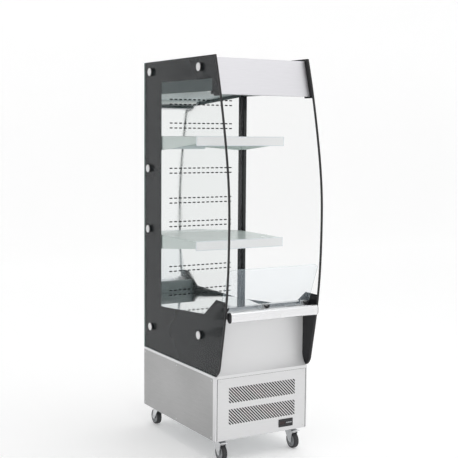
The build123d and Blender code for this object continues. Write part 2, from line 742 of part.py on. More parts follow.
controller_x, controller_z = 130.0, side_low + 38
cutout_side, cutout_rise = controller_width / 2 - 3.5, controller_height / 2 - 4
panel_edge = half - post_strip - groove
slot_run = grille_pitch * math.sqrt(2)
with BuildPart() as grille_panel:
    panel_z = (side_low + 1, base_high - 1)
    block((-panel_edge, panel_edge), (base_front, base_front + grille_rim), panel_z)
    pocket_z = (panel_z[0] + sheet, panel_z[1] - sheet)
    pocket_y = (base_front + sheet, base_front + grille_rim + 1)
    block((-panel_edge + sheet, panel_edge - sheet), pocket_y, pocket_z, mode=Mode.SUBTRACT)
    for row_top in grille_row_tops:
        row_z = high(-row_top - grille_row_height / 2)
        with BuildSketch(Plane.XZ.offset(-base_front)):
            with Locations((0, row_z)):
                with GridLocations(slot_run, 1, int((grille_width + grille_row_height) / slot_run), 1):
                    Rectangle(grille_slot, 2 * grille_row_height, rotation=45)
                Rectangle(grille_width, grille_row_height, mode=Mode.INTERSECT)
        extrude(amount=-2 * sheet, mode=Mode.SUBTRACT)
    cutout_x = (controller_x - cutout_side, controller_x + cutout_side)
    cutout_z = (controller_z - cutout_rise, controller_z + cutout_rise)
    block(cutout_x, (base_front - 1, base_front + 2 * sheet), cutout_z, mode=Mode.SUBTRACT)
keep(grille_panel, "grille_panel")

# Castors: a plate with its kingpin, a swivel fork with its axle, a wheel, and pedals at the front
castors = {"fl": (-1, -1), "fr": (1, -1), "rl": (-1, 1), "rr": (1, 1)}
crown_low = 84.0
head_high = castor_height - plate_t - fit_gap
fork_half = wheel_width / 2 + fork_gap + fork_t


def castor_place(column, row):
    # the swivel axis and the wheel's Y
    king_y = base_front + castor_inset_y if row < 0 else base_back - castor_inset_y
    return column * (half - castor_inset_x), king_y, king_y + row * castor_trail


with BuildPart() as castor_plates:
    for column, row in castors.values():
        king_x, king_y, _ = castor_place(column, row)
        plate_x = (king_x - 40, king_x + 40)
        block(plate_x, (king_y - 32, king_y + 32), (castor_height - plate_t, castor_height))
        pin_length = castor_height - crown_low - 1
        rod((king_x, king_y, castor_height - pin_length / 2), king_radius, pin_length, "Z")
keep(castor_plates, "castor_plates")

for name, (column, row) in castors.items():
    king_x, king_y, wheel_y = castor_place(column, row)
    pedal_y = king_y + row * pedal_reach
    with BuildPart() as fork:
        with BuildSketch(Plane.YZ.offset(king_x - fork_half)):
            with Locations((wheel_y, wheel_radius)):
                Circle(11)
            with Locations((king_y, crown_low + 2)):
                Rectangle(44, 4)
            if row < 0:
                with Locations((pedal_y, pedal_level)):
                    Circle(6)
            make_hull()
        extrude(amount=2 * fork_half)
        leg_x = king_x - wheel_width / 2 - fork_gap, king_x + wheel_width / 2 + fork_gap
        block(leg_x, (king_y - 80, king_y + 80), (0, crown_low), mode=Mode.SUBTRACT)
        block(leg_x, (pedal_y - 8, pedal_y + 8), (0, castor_height), mode=Mode.SUBTRACT)
        rod((king_x, king_y, (crown_low + head_high) / 2), 22, head_high - crown_low, "Z")
        rod((king_x, king_y, crown_low), king_radius + running_gap, 40, "Z", mode=Mode.SUBTRACT)
        rod((king_x, wheel_y, wheel_radius), axle_radius, 2 * fork_half + 5, "X")
        if row < 0:
            rod((king_x, pedal_y, pedal_level), pedal_pin, 2 * fork_half, "X")
    keep(fork, f"castor_fork_{name}")

    with BuildPart() as wheel:
        rod((king_x, wheel_y, wheel_radius), wheel_radius, wheel_width, "X")
        fillet(wheel.edges().filter_by(GeomType.CIRCLE), 3.5)
        for side in (-1, 1):
            face = (king_x + side * wheel_width / 2, wheel_y, wheel_radius)
            rod(face, 25, 6, "X", mode=Mode.SUBTRACT)
            rod((king_x + side * (wheel_width / 2 - 2), wheel_y, wheel_radius), 10, 4, "X")
        hub = (king_x, wheel_y, wheel_radius)
        rod(hub, axle_radius + running_gap, 2 * wheel_width, "X", mode=Mode.SUBTRACT)
    keep(wheel, f"castor_wheel_{name}")

for name in ("fl", "fr"):
    king_x, king_y, wheel_y = castor_place(*castors[name])
    pedal_y = king_y - pedal_reach
    with BuildPart() as brake:
        rod((king_x, pedal_y, pedal_level), 6, wheel_width + fork_gap, "X")
        with BuildSketch(Plane.YZ.offset(king_x - wheel_width / 2)):
            with BuildLine():
                Polyline(
                    (pedal_y, pedal_level + 2),
                    (pedal_y, pedal_level + 5),
                    (pedal_y - 30, pedal_level + 12),
                    (pedal_y - 32, pedal_level + 9),
                    close=True,
                )
            make_face()
        extrude(amount=wheel_width)
        nub_z = (pedal_level - 7, pedal_level)
        block((king_x - 8, king_x + 8), (pedal_y - 3, pedal_y + 3), nub_z)
        rod((king_x, pedal_y, pedal_level), pedal_pin + running_gap, 60, "X", mode=Mode.SUBTRACT)
    keep(brake, f"castor_brake_{name}")

# Compressor on rubber feet
compressor_x, compressor_y = -110.0, deep(520)
feet_level = side_low + grommet_height
stub_y = compressor_y - compressor_radius - 12
discharge_x, discharge_z = compressor_x - 30, feet_level + 116
suction_x, suction_z = compressor_x + 20, feet_level + 128
with BuildPart() as compressor:
    shell = (compressor_x, compressor_y, feet_level + compressor_height / 2)
    rod(shell, compressor_radius, compressor_height, "Z")
    rims = compressor.edges().filter_by(GeomType.CIRCLE).sort_by(Axis.Z)
    fillet(rims[-1], 46)
    fillet(compressor.edges().filter_by(GeomType.CIRCLE).sort_by(Axis.Z)[0], 16)
    foot_y = (compressor_y - 70, compressor_y + 70)
    block((compressor_x - 100, compressor_x + 100), foot_y, (feet_level, feet_level + 3))
    box_z = (feet_level + 50, feet_level + 105)
    block((compressor_x, compressor_x + 106), (compressor_y - 26, compressor_y + 26), box_z)
    for stub_x, stub_z in ((discharge_x, discharge_z), (suction_x, suction_z)):
        rod((stub_x, (stub_y + compressor_y) / 2, stub_z), 5.5, compressor_y - stub_y, "Y")
keep(compressor, "compressor")

with BuildPart() as compressor_grommets:
    with Locations((compressor_x, compressor_y, side_low + grommet_height / 2)):
        with GridLocations(176, 116, 2, 2):
            Cylinder(9, grommet_height)
    for edge in compressor_grommets.edges().filter_by(GeomType.CIRCLE).group_by(Axis.Z)[0]:
        chamfer(edge, 1)
keep(compressor_grommets, "compressor_grommets")


def pipe(points, radius, bend, wall=0.0):
    # a tube along straight runs joined by bends, hollow where a wall is given
    with BuildLine(mode=Mode.PRIVATE) as route:
        FilletPolyline(*points, radius=bend)
    path = route.line
    with BuildSketch(Plane(origin=path @ 0, z_dir=path % 0), mode=Mode.PRIVATE) as section:
        Circle(radius)
        if wall:
            Circle(radius - wall, mode=Mode.SUBTRACT)
    sweep(section.sketch, path=path)


# Refrigerant pipes: hot gas to the condenser, liquid by the drier to the evaporator, and suction back
condenser_end, condenser_row = -condenser_width / 2 - 10, condenser_y + condenser_depth / 2
evaporator_end = -evaporator_width / 2 - 10
evaporator_row = evaporator_back - evaporator_depth / 2
evaporator_mid = high(tub_floor) + evaporator_height / 2
with BuildPart() as refrigerant_pipes:
    discharge = [
        (discharge_x, stub_y, discharge_z),
        (discharge_x, deep(340), discharge_z),
        (discharge_x, deep(340), condenser_mid + 75),
        (pipe_x, deep(340), condenser_mid + 75),
        (pipe_x, condenser_row + 22, condenser_mid + 75),
        (condenser_end, condenser_row + 22, condenser_mid + 75),
    ]
    pipe(discharge, pipe_radius, pipe_bend)
    liquid = [
        (condenser_end, condenser_row - 22, condenser_mid - 75),
        (pipe_x, condenser_row - 22, condenser_mid - 75),
        (pipe_x, deep(300), condenser_mid - 75),
        (pipe_x, deep(300), condenser_mid + 20),
        (pipe_x, evaporator_row - 80, condenser_mid + 20),
        (pipe_x, evaporator_row - 80, evaporator_mid - 50),
        (evaporator_end, evaporator_row - 80, evaporator_mid - 50),
    ]
    pipe(liquid, pipe_radius, pipe_bend)
    rod((pipe_x, deep(210), condenser_mid - 75), drier_radius, 90, "Y")
    suction = [
        (evaporator_end, evaporator_row + 80, evaporator_mid + 50),
        (pipe_x, evaporator_row + 80, evaporator_mid + 50),
        (pipe_x, evaporator_row + 80, condenser_mid + 62),
        (pipe_x, stub_y - 20, condenser_mid + 62),
        (suction_x, stub_y - 20, condenser_mid + 62),
        (suction_x, stub_y - 20, suction_z),
        (suction_x, stub_y, suction_z),
    ]
    pipe(suction, pipe_radius, pipe_bend)
keep(refrigerant_pipes, "refrigerant_pipes")

# Drip tray over the base floor, and the hose that drains the tub into it
with BuildPart() as evaporation_tray:
    tray_x, tray_y = (40, 215), (deep(300), deep(480))
    block(tray_x, tray_y, (side_low, side_low + 32))
    well_z = (side_low + 2, side_low + 33)
    block((tray_x[0] + 2, tray_x[1] - 2), (tray_y[0] + 2, tray_y[1] - 2), well_z, mode=Mode.SUBTRACT)
    drain_y = deep(drain_depth)
    hose = [
        (0, drain_y, high(tub_floor) - 1),
        (0, drain_y, glass_bottom - 120),
        (80, drain_y, glass_bottom - 120),
        (80, drain_y, side_low + 10),
    ]
    pipe(hose, drain_radius - fit_gap, 24, wall=2)
keep(evaporation_tray, "evaporation_tray")

# Electrical box on the base floor
with BuildPart() as electrical_box:
    box_x, box_y = (60, 200), (deep(560), deep(680))
    box_z = (side_low, side_low + 112)
    block(box_x, box_y, box_z)
    fillet(electrical_box.edges().filter_by(Axis.Z), 4)
    inner_y = (box_y[0] + 2, box_y[1] - 2)
    block((box_x[0] + 2, box_x[1] - 2), inner_y, (box_z[0] - 1, box_z[1] - 2), mode=Mode.SUBTRACT)
    for gland_x in (90, 130, 170):
        rod((gland_x, box_y[0] - 6, side_low + 56), 9, 16, "Y")
keep(electrical_box, "electrical_box")

# Switched power inlet in the rear panel, and its rocker
socket_x, switch_x = inlet_x - 9, inlet_x + 14
inlet_face = rear_face + inlet_rim
switch_pivot = inlet_face - 5
with BuildPart() as power_inlet:
    block((inlet_x - 29, inlet_x + 29), (rear_face, inlet_face), (inlet_z - 19, inlet_z + 19))
    body_x = (inlet_x - inlet_width / 2 + fit_gap, inlet_x + inlet_width / 2 - fit_gap)
    body_z = (inlet_z - inlet_height / 2 + fit_gap, inlet_z + inlet_height / 2 - fit_gap)
    block(body_x, (rear_face - 30, rear_face), body_z)
    recess_y, recess_z = (inlet_face - 17, inlet_face + 1), (inlet_z - 8.5, inlet_z + 8.5)
    block((socket_x - 12, socket_x + 12), recess_y, recess_z, mode=Mode.SUBTRACT)
    for pin_x, pin_z in ((-7, -2), (0, 2), (7, -2)):
        pin_side = (socket_x + pin_x - 1, socket_x + pin_x + 1)
        block(pin_side, (inlet_face - 18, inlet_face - 3), (inlet_z + pin_z - 2, inlet_z + pin_z + 2))
    well_x = (switch_x - rocker_width / 2 - 0.5, switch_x + rocker_width / 2 + 0.5)
    well_z = (inlet_z - rocker_height / 2 - 0.9, inlet_z + rocker_height / 2 + 0.9)
    block(well_x, (inlet_face - 15, inlet_face + 1), well_z, mode=Mode.SUBTRACT)
    rod((switch_x, switch_pivot, inlet_z), rocker_pin, rocker_width + 2, "X")
keep(power_inlet, "power_inlet")

with BuildPart() as mains_rocker:
    end = rocker_height / 2
    with BuildSketch(Plane.YZ.offset(switch_x - rocker_width / 2)):
        with Locations((switch_pivot, inlet_z)):
            Polygon(
                (5, -end),
                (4, 0),
                (5, end),
                (1, end),
                (-3, 3),
                (-3, -3),
                (1, -end),
                rotation=rocker_tilt,
                align=None,
            )
            Circle(rocker_pin + running_gap, mode=Mode.SUBTRACT)
    extrude(amount=rocker_width)
keep(mains_rocker, "mains_rocker")

# Thermostat controller low in the grille panel, with three keys
key_places = [controller_x + offset_x for offset_x in (6, 17, 28)]
with BuildPart() as controller:
    bezel_x = (controller_x - controller_width / 2, controller_x + controller_width / 2)
    bezel_z = (controller_z - controller_height / 2, controller_z + controller_height / 2)
    block(bezel_x, (base_front - bezel_t, base_front), bezel_z)
    fillet(controller.edges().filter_by(Axis.Y), 3)
    housing_x = (cutout_x[0] + fit_gap, cutout_x[1] - fit_gap)
    housing_z = (cutout_z[0] + fit_gap, cutout_z[1] - fit_gap)
    block(housing_x, (base_front, base_front + controller_depth), housing_z)
    display_z = (controller_z - 9, controller_z + 9)
    display_y = (base_front - bezel_t - 1, base_front - bezel_t + 0.8)
    block((controller_x - 32, controller_x - 4), display_y, display_z, mode=Mode.SUBTRACT)
    for key_x in key_places:
        well_x = (key_x - key_width / 2 - key_gap, key_x + key_width / 2 + key_gap)
        well_z = (controller_z - key_height / 2 - key_gap, controller_z + key_height / 2 + key_gap)
        block(well_x, (base_front - bezel_t - 1, base_front + 4), well_z, mode=Mode.SUBTRACT)
keep(controller, "controller")

for number, key_x in enumerate(key_places, start=1):
    with BuildPart() as key:
        key_y = (base_front - bezel_t - 1, base_front + 4 - key_travel - key_gap)
        key_z = (controller_z - key_height / 2, controller_z + key_height / 2)
        block((key_x - key_width / 2, key_x + key_width / 2), key_y, key_z)
    keep(key, f"controller_key_{number}")
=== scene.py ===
import json
import math
import bmesh
import bpy
from mathutils import Matrix, Vector


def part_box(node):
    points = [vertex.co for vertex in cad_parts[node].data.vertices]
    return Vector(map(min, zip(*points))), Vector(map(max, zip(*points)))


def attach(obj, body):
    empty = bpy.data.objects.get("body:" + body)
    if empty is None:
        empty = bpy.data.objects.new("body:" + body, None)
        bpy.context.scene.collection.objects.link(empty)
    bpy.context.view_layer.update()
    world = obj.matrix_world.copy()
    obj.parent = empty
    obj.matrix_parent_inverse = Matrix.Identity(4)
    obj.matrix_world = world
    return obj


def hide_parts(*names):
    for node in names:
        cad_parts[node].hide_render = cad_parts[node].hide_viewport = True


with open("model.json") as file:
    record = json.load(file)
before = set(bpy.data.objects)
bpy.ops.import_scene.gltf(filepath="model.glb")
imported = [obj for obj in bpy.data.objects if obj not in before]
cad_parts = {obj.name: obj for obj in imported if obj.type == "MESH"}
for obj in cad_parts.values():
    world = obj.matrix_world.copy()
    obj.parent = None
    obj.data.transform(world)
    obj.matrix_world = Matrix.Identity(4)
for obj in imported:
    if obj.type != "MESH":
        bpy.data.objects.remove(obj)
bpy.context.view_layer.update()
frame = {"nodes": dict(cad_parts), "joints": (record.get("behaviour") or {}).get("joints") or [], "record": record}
cadNodes = frame["nodes"]
bodyGroups = frame["record"]["behaviour"]["bodies"]
bodyOfNode = {node: body for body, group in bodyGroups.items() for node in group}
mm = 0.001
corners = ("fl", "fr", "rl", "rr")
print("frame loaded with", len(cadNodes), "nodes")


# Materials: one function for each kind of surface, with its grain on Object coordinates
even = (1, 1, 1)
alongX, alongY, alongZ = (3, 160, 160), (160, 3, 160), (160, 160, 3)
brush = {"scale": 6.0, "detail": 4.0, "strength": 0.05, "depth": 0.0004}
peel = {"scale": 420.0, "strength": 0.12, "depth": 0.0003}


def startMaterial(name, colour, metallic=0.0, roughness=0.5):
    finish = bpy.data.materials.new(name)
    finish.use_nodes = True
    shader = finish.node_tree.nodes["Principled BSDF"]
    shader.inputs["Base Color"].default_value = (*colour, 1)
    shader.inputs["Metallic"].default_value = metallic
    shader.inputs["Roughness"].default_value = roughness
    return finish, finish.node_tree, shader


def mathNode(tree, kind, first, second=None):
    # fed by numbers or by other nodes
    node = tree.nodes.new("ShaderNodeMath")
    node.operation = kind
    for index, source in enumerate((first, second)):
        if isinstance(source, (int, float)):
            node.inputs[index].default_value = source
        elif source is not None:
            tree.links.new(source, node.inputs[index])
    return node.outputs[0]


def axisOf(tree, axis, facing=False):
    # one axis of the place on the piece, or of the way its surface faces
    place = tree.nodes.new("ShaderNodeNewGeometry" if facing else "ShaderNodeTexCoord")
    apart = tree.nodes.new("ShaderNodeSeparateXYZ")
    tree.links.new(place.outputs["Normal" if facing else "Object"], apart.inputs["Vector"])
    return apart.outputs[axis]


def grainNoise(tree, stretch, scale, detail=3.0):
    # noise whose grain is drawn out by a Mapping node
    place = tree.nodes.new("ShaderNodeTexCoord")
    mapping = tree.nodes.new("ShaderNodeMapping")
    mapping.inputs["Scale"].default_value = stretch
    noise = tree.nodes.new("ShaderNodeTexNoise")
    noise.inputs["Scale"].default_value = scale
    noise.inputs["Detail"].default_value = detail
    tree.links.new(place.outputs["Object"], mapping.inputs["Vector"])
    tree.links.new(mapping.outputs["Vector"], noise.inputs["Vector"])
    return noise.outputs["Fac"]


def brushGrain(tree, stretch=alongX):
    return grainNoise(tree, stretch, brush["scale"], brush["detail"])


def spread(tree, source, low, high, start=0.3, end=0.7):
    # a number from low to high while the source goes from start to end
    span = tree.nodes.new("ShaderNodeMapRange")
    for socket, value in (("From Min", start), ("From Max", end), ("To Min", low), ("To Max", high)):
        span.inputs[socket].default_value = value
    tree.links.new(source, span.inputs["Value"])
    return span.outputs["Result"]


def varyRoughness(tree, shader, source, low, high):
    tree.links.new(spread(tree, source, low, high), shader.inputs["Roughness"])


def mixColours(tree, source, first, second):
    # the first colour where the source is 0, the second where it is 1
    mix = tree.nodes.new("ShaderNodeMix")
    mix.data_type = "RGBA"
    for index, colour in ((6, first), (7, second)):
        if isinstance(colour, tuple):
            mix.inputs[index].default_value = (*colour, 1)
        else:
            tree.links.new(colour, mix.inputs[index])
    tree.links.new(source, mix.inputs[0])
    return mix.outputs[2]


def tintBetween(tree, shader, source, first, second):
    tree.links.new(mixColours(tree, source, first, second), shader.inputs["Base Color"])


def roughen(tree, shader, source, strength, depth):
    bump = tree.nodes.new("ShaderNodeBump")
    bump.inputs["Strength"].default_value = strength
    bump.inputs["Distance"].default_value = depth
    tree.links.new(source, bump.inputs["Height"])
    tree.links.new(bump.outputs["Normal"], shader.inputs["Normal"])
    return bump


def brushedSteel(name, light, dark, rough, stretch=alongX):
    # grain runs along the axis with the small stretch
    finish, tree, shader = startMaterial(name, light, 1.0, rough)
    grain = brushGrain(tree, stretch)
    tintBetween(tree, shader, spread(tree, grain, 0, 1), dark, light)
    varyRoughness(tree, shader, grainNoise(tree, even, 3.5), rough * 0.85, rough * 1.25)
    roughen(tree, shader, grain, brush["strength"], brush["depth"])
    return finish


def polishedSteel(name, light, rough, lean=0.0):
    # lean tips the mirror of a sheet that isn't quite upright, as a share of its normal
    finish, tree, shader = startMaterial(name, light, 1.0, rough)
    varyRoughness(tree, shader, grainNoise(tree, (1, 1, 6), 5.0), rough * 0.6, rough * 1.7)
    bump = roughen(tree, shader, grainNoise(tree, (1, 1, 0.6), 2.2, 1.0), 0.02, 0.001)
    if lean:
        surface = tree.nodes.new("ShaderNodeNewGeometry")
        tipped = tree.nodes.new("ShaderNodeVectorMath")
        tipped.operation = "ADD"
        tipped.inputs[1].default_value = (0, 0, lean)
        tree.links.new(surface.outputs["Normal"], tipped.inputs[0])
        tree.links.new(tipped.outputs["Vector"], bump.inputs["Normal"])
    return finish


def frontSheet(name, light, polished, seam):
    # brushed panel whose top band, over the bumper bar, is polished and toned darker; the darker tone is painted
    # shade from the bar
    rough, metal = (0.42, 0.10), (0.2, 1.0)
    finish, tree, shader = startMaterial(name, light, metal[0], rough[0])
    band = mathNode(tree, "GREATER_THAN", axisOf(tree, "Z"), seam)
    tintBetween(tree, shader, band, light, polished)
    for socket, (below, over) in (("Roughness", rough), ("Metallic", metal)):
        tree.links.new(spread(tree, band, below, over, 0, 1), shader.inputs[socket])
    roughen(tree, shader, brushGrain(tree), brush["strength"], brush["depth"])
    return finish


def steelWithPaintedShade(name, light, dark, lining, cut=False):
    # brushed outside, with painted shade: dark on the side that faces the shelves, or with cut set, dark on the
    # cut edges of the sheet, where the slots lie in shade
    finish, tree, shader = startMaterial(name, light, 1.0, 0.5)
    grain = brushGrain(tree)
    brushed = mixColours(tree, spread(tree, grain, 0, 1), dark, light)
    facing = axisOf(tree, "Y", True)
    if cut:
        shadedFaces = mathNode(tree, "LESS_THAN", mathNode(tree, "ABSOLUTE", facing), 0.5)
    else:
        shadedFaces = mathNode(tree, "GREATER_THAN", facing, 0.5)
    # the dark faces are painted shade
    tintBetween(tree, shader, shadedFaces, brushed, lining)
    varyRoughness(tree, shader, grain, 0.44, 0.58)
    roughen(tree, shader, grain, brush["strength"], brush["depth"])
    return finish


def paintedSheet(name, colour, rough):
    # fine orange peel and a faint change of tone
    finish, tree, shader = startMaterial(name, colour, 0.0, rough)
    cloud = grainNoise(tree, even, 2.5)
    tintBetween(tree, shader, spread(tree, cloud, 0, 1), tuple(c * 0.93 for c in colour), colour)
    roughen(tree, shader, grainNoise(tree, even, peel["scale"], 1.0), peel["strength"], peel["depth"])
    varyRoughness(tree, shader, cloud, rough * 0.9, rough * 1.15)
    return finish


def twoToneSheet(name, colour, second, axis, edge, above, facing=False):
    # painted sheet with a second tone beyond a place on one axis, or on the faces turned that way
    finish, tree, shader = startMaterial(name, colour, 0.0, 0.4)
    kind = "GREATER_THAN" if above else "LESS_THAN"
    tintBetween(tree, shader, mathNode(tree, kind, axisOf(tree, axis, facing), edge), colour, second)
    fine = grainNoise(tree, even, peel["scale"], 1.0)
    roughen(tree, shader, fine, peel["strength"], peel["depth"])
    varyRoughness(tree, shader, fine, 0.36, 0.46)
    return finish


def mouldedPlastic(name, colour, rough, grain=900.0):
    finish, tree, shader = startMaterial(name, colour, 0.0, rough)
    roughen(tree, shader, grainNoise(tree, even, grain, 2.0), 0.2, 0.0002)
    varyRoughness(tree, shader, grainNoise(tree, even, 12.0), rough * 0.88, rough * 1.15)
    return finish


def clearGlass(name, colour, alpha, shine):
    # a faint film of the glass's own tint over what is behind it
    finish, tree, shader = startMaterial(name, colour, 0.0, 0.03)
    shader.inputs["Alpha"].default_value = alpha
    shader.inputs["Specular IOR Level"].default_value = shine
    shader.inputs["IOR"].default_value = 1.52
    smear = grainNoise(tree, even, 4.0)
    varyRoughness(tree, shader, smear, 0.02, 0.06)
    roughen(tree, shader, smear, 0.02, 0.0005)
    return finish


def ceramicPrint(name, plain, dark, light):
    # gloss of the glass over a black ceramic print
    finish, tree, shader = startMaterial(name, plain, 0.0, 0.08)
    shader.inputs["Specular IOR Level"].default_value = 0.17
    cloud = grainNoise(tree, even, 1.6)
    tintBetween(tree, shader, spread(tree, cloud, 0, 1), dark, light)
    varyRoughness(tree, shader, cloud, 0.15, 0.22)
    roughen(tree, shader, grainNoise(tree, even, 90.0, 1.0), 0.02, 0.0001)
    return finish


def wheelTread(name, plain, hub, tyre, rim):
    # rubber outside, grey hub inside, told apart by the distance from the axle
    finish, tree, shader = startMaterial(name, plain, 0.0, 0.6)
    (frontLow, frontHigh), (rearLow, rearHigh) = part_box("castor_wheel_fl"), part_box("castor_wheel_rl")
    frontY, rearY = (frontLow.y + frontHigh.y) / 2, (rearLow.y + rearHigh.y) / 2
    axleZ = (frontLow.z + frontHigh.z) / 2
    placeY = axisOf(tree, "Y")
    isRear = mathNode(tree, "GREATER_THAN", placeY, 0.0)
    axleY = mathNode(tree, "ADD", mathNode(tree, "MULTIPLY", isRear, rearY - frontY), frontY)
    across = mathNode(tree, "SUBTRACT", placeY, axleY)
    up = mathNode(tree, "SUBTRACT", axisOf(tree, "Z"), axleZ)
    squares = [mathNode(tree, "MULTIPLY", part, part) for part in (across, up)]
    reach = mathNode(tree, "SQRT", mathNode(tree, "ADD", *squares))
    tintBetween(tree, shader, mathNode(tree, "GREATER_THAN", reach, rim), hub, tyre)
    scuff = grainNoise(tree, even, 300.0, 2.0)
    roughen(tree, shader, scuff, 0.3, 0.0004)
    varyRoughness(tree, shader, scuff, 0.45, 0.75)
    return finish


# Each finish: its kind and what that kind asks for
finishKinds = {
    "sideGlass": (clearGlass, (0.24, 0.32, 0.31), 0.035, 0.24),
    "frontPane": (clearGlass, (0.76, 0.88, 0.96), 0.11, 0.6),
    "glassEdge": (clearGlass, (0.11, 0.25, 0.21), 0.75, 0.6),
    "paneEdge": (clearGlass, (0.66, 0.76, 0.76), 0.30, 0.6),
    # frontSteel: the darker tone of the polished band is painted shade from the bumper bar
    "frontSteel": (frontSheet, (0.74, 0.74, 0.745), (0.50, 0.51, 0.52), 0.676),
    "printedBlack": (ceramicPrint, (0.012, 0.013, 0.014), (0.015, 0.015, 0.017), (0.026, 0.026, 0.029)),
    "edgeRubber": (mouldedPlastic, (0.012, 0.012, 0.013), 0.55),
    "blackPlastic": (mouldedPlastic, (0.018, 0.018, 0.020), 0.42),
    "discSteel": (brushedSteel, (0.78, 0.78, 0.78), (0.62, 0.62, 0.62), 0.38, (40, 40, 40)),
    "panelSteel": (brushedSteel, (0.76, 0.76, 0.765), (0.68, 0.68, 0.685), 0.5),
    # grilleSteel: the dark on the cut edges is painted shade inside the slots
    "grilleSteel": (steelWithPaintedShade, (0.76, 0.76, 0.765), (0.68, 0.68, 0.685), (0.05, 0.05, 0.052), True),
    # headerSteel: the dark teal on the face turned to the shelves is painted shade behind the header, seen in the
    # wall mirror
    "headerSteel": (steelWithPaintedShade, (0.76, 0.755, 0.78), (0.69, 0.685, 0.71), (0.030, 0.050, 0.052)),
    "wallMirror": (polishedSteel, (0.93, 0.945, 0.94), 0.045, 0.038),
    "deckSteel": (polishedSteel, (0.84, 0.86, 0.86), 0.07),
    "postSteel": (brushedSteel, (0.60, 0.61, 0.62), (0.50, 0.51, 0.52), 0.35, alongZ),
    "sideSheet": (brushedSteel, (0.45, 0.45, 0.45), (0.39, 0.39, 0.39), 0.42, alongY),
    "brightRail": (brushedSteel, (0.74, 0.74, 0.75), (0.64, 0.64, 0.65), 0.35, (60, 4, 160)),
    "cornerSteel": (brushedSteel, (0.78, 0.78, 0.79), (0.68, 0.68, 0.69), 0.32, alongZ),
    "barAluminium": (brushedSteel, (0.86, 0.86, 0.87), (0.78, 0.78, 0.79), 0.26),
    "shelfWhite": (paintedSheet, (0.66, 0.735, 0.71), 0.25),
    "canopyTeal": (twoToneSheet, (0.024, 0.042, 0.045), (0.42, 0.43, 0.44), "Z", 0.5, True, True),
    "rearGrey": (paintedSheet, (0.40, 0.41, 0.42), 0.45),
    # tubLined: grey paint, with a darker band above Z 0.629 that is painted shade on the upper tub walls and the
    # riser rim
    "tubLined": (twoToneSheet, (0.42, 0.43, 0.44), (0.200, 0.235, 0.240), "Z", 0.6290, True),
    "wallLined": (twoToneSheet, (0.40, 0.41, 0.42), (0.016, 0.018, 0.018), "Y", 0.3826, False),
    # coilBlack: a black coil coat, made near-black as painted shade behind the grille slots
    "coilBlack": (brushedSteel, (0.060, 0.060, 0.062), (0.035, 0.035, 0.036), 0.5, (120, 8, 8)),
    "ceilingWhite": (paintedSheet, (0.44, 0.51, 0.52), 0.35),
    "finMetal": (brushedSteel, (0.74, 0.75, 0.76), (0.58, 0.59, 0.60), 0.4, (120, 8, 8)),
    "galvanised": (brushedSteel, (0.58, 0.60, 0.61), (0.44, 0.46, 0.47), 0.45, (18, 18, 18)),
    "zincSteel": (brushedSteel, (0.72, 0.73, 0.74), (0.60, 0.61, 0.62), 0.3, (30, 30, 30)),
    "motorBlack": (paintedSheet, (0.020, 0.020, 0.022), 0.28),
    "pipeCopper": (brushedSteel, (0.80, 0.47, 0.32), (0.62, 0.33, 0.21), 0.32, (25, 25, 25)),
    "lampOpal": (mouldedPlastic, (0.93, 0.94, 0.93), 0.25, 60.0),
    "trayGrey": (mouldedPlastic, (0.24, 0.25, 0.26), 0.5),
    "outletGrey": (mouldedPlastic, (0.34, 0.36, 0.37), 0.5),
    "keyGrey": (mouldedPlastic, (0.42, 0.43, 0.44), 0.45),
    "stripClear": (mouldedPlastic, (0.80, 0.85, 0.88), 0.18, 80.0),
    "cardWhite": (mouldedPlastic, (0.88, 0.89, 0.89), 0.6, 500.0),
    "displayDark": (mouldedPlastic, (0.02, 0.006, 0.006), 0.12, 40.0),
    # filterFoam: a dark filter mat, its near-black also painted shade behind the grille slots
    "filterFoam": (mouldedPlastic, (0.022, 0.022, 0.024), 0.8, 260.0),
    "wheelTread": (wheelTread, (0.03, 0.03, 0.032), (0.30, 0.31, 0.32), (0.030, 0.030, 0.033),
                   29.5 * mm),
}
finishes = {name: kind(name, *values) for name, (kind, *values) in finishKinds.items()}
nodeFinish = {
    "side_glass_left": "sideGlass", "side_glass_right": "sideGlass", "front_glass": "frontPane",
    "glass_borders": "printedBlack", "glass_edge_trims": "edgeRubber",
    "fixing_spacers": "blackPlastic", "fixing_discs": "discSteel",
    "tub": "tubLined", "rear_wall": "wallLined", "front_panel": "frontSteel",
    "deck_plate": "deckSteel", "duct_panel": "wallMirror", "shelf_posts": "postSteel",
    "evaporator_coil": "finMetal", "condenser_coil": "coilBlack",
    "evaporator_fan_plate": "galvanised", "condenser_shroud": "galvanised",
    "evaporator_fan": "blackPlastic", "condenser_fan": "blackPlastic", "fan_motors": "motorBlack",
    "shelf_lower": "shelfWhite", "shelf_upper": "shelfWhite",
    "ticket_strip_lower": "stripClear", "ticket_strip_upper": "stripClear",
    "canopy_shell": "canopyTeal", "canopy_ceiling": "ceilingWhite",
    "honeycomb_outlet": "outletGrey", "lamp": "lampOpal", "header_fascia": "headerSteel",
    "front_brackets": "panelSteel", "bumper_bar": "barAluminium",
    "bumper_end_caps": "blackPlastic", "body_rail": "brightRail", "base_floor": "galvanised",
    "base_sides": "sideSheet", "base_corner_posts": "cornerSteel", "base_rear_panel": "rearGrey",
    "grille_panel": "grilleSteel", "castor_plates": "zincSteel", "compressor": "motorBlack",
    "compressor_grommets": "edgeRubber", "refrigerant_pipes": "pipeCopper",
    "evaporation_tray": "trayGrey", "electrical_box": "trayGrey", "power_inlet": "blackPlastic",
    "mains_rocker": "keyGrey", "controller": "blackPlastic",
}
for number in (1, 2, 3):
    nodeFinish[f"controller_key_{number}"] = "keyGrey"
for corner in corners:
    nodeFinish[f"castor_fork_{corner}"] = "zincSteel"
    nodeFinish[f"castor_wheel_{corner}"] = "wheelTread"
    nodeFinish[f"castor_brake_{corner}"] = "zincSteel"
for node, piece in cadNodes.items():
    piece.data.materials.clear()
    piece.data.materials.append(finishes[nodeFinish[node]])
print("finishes on", len(cadNodes), "nodes")


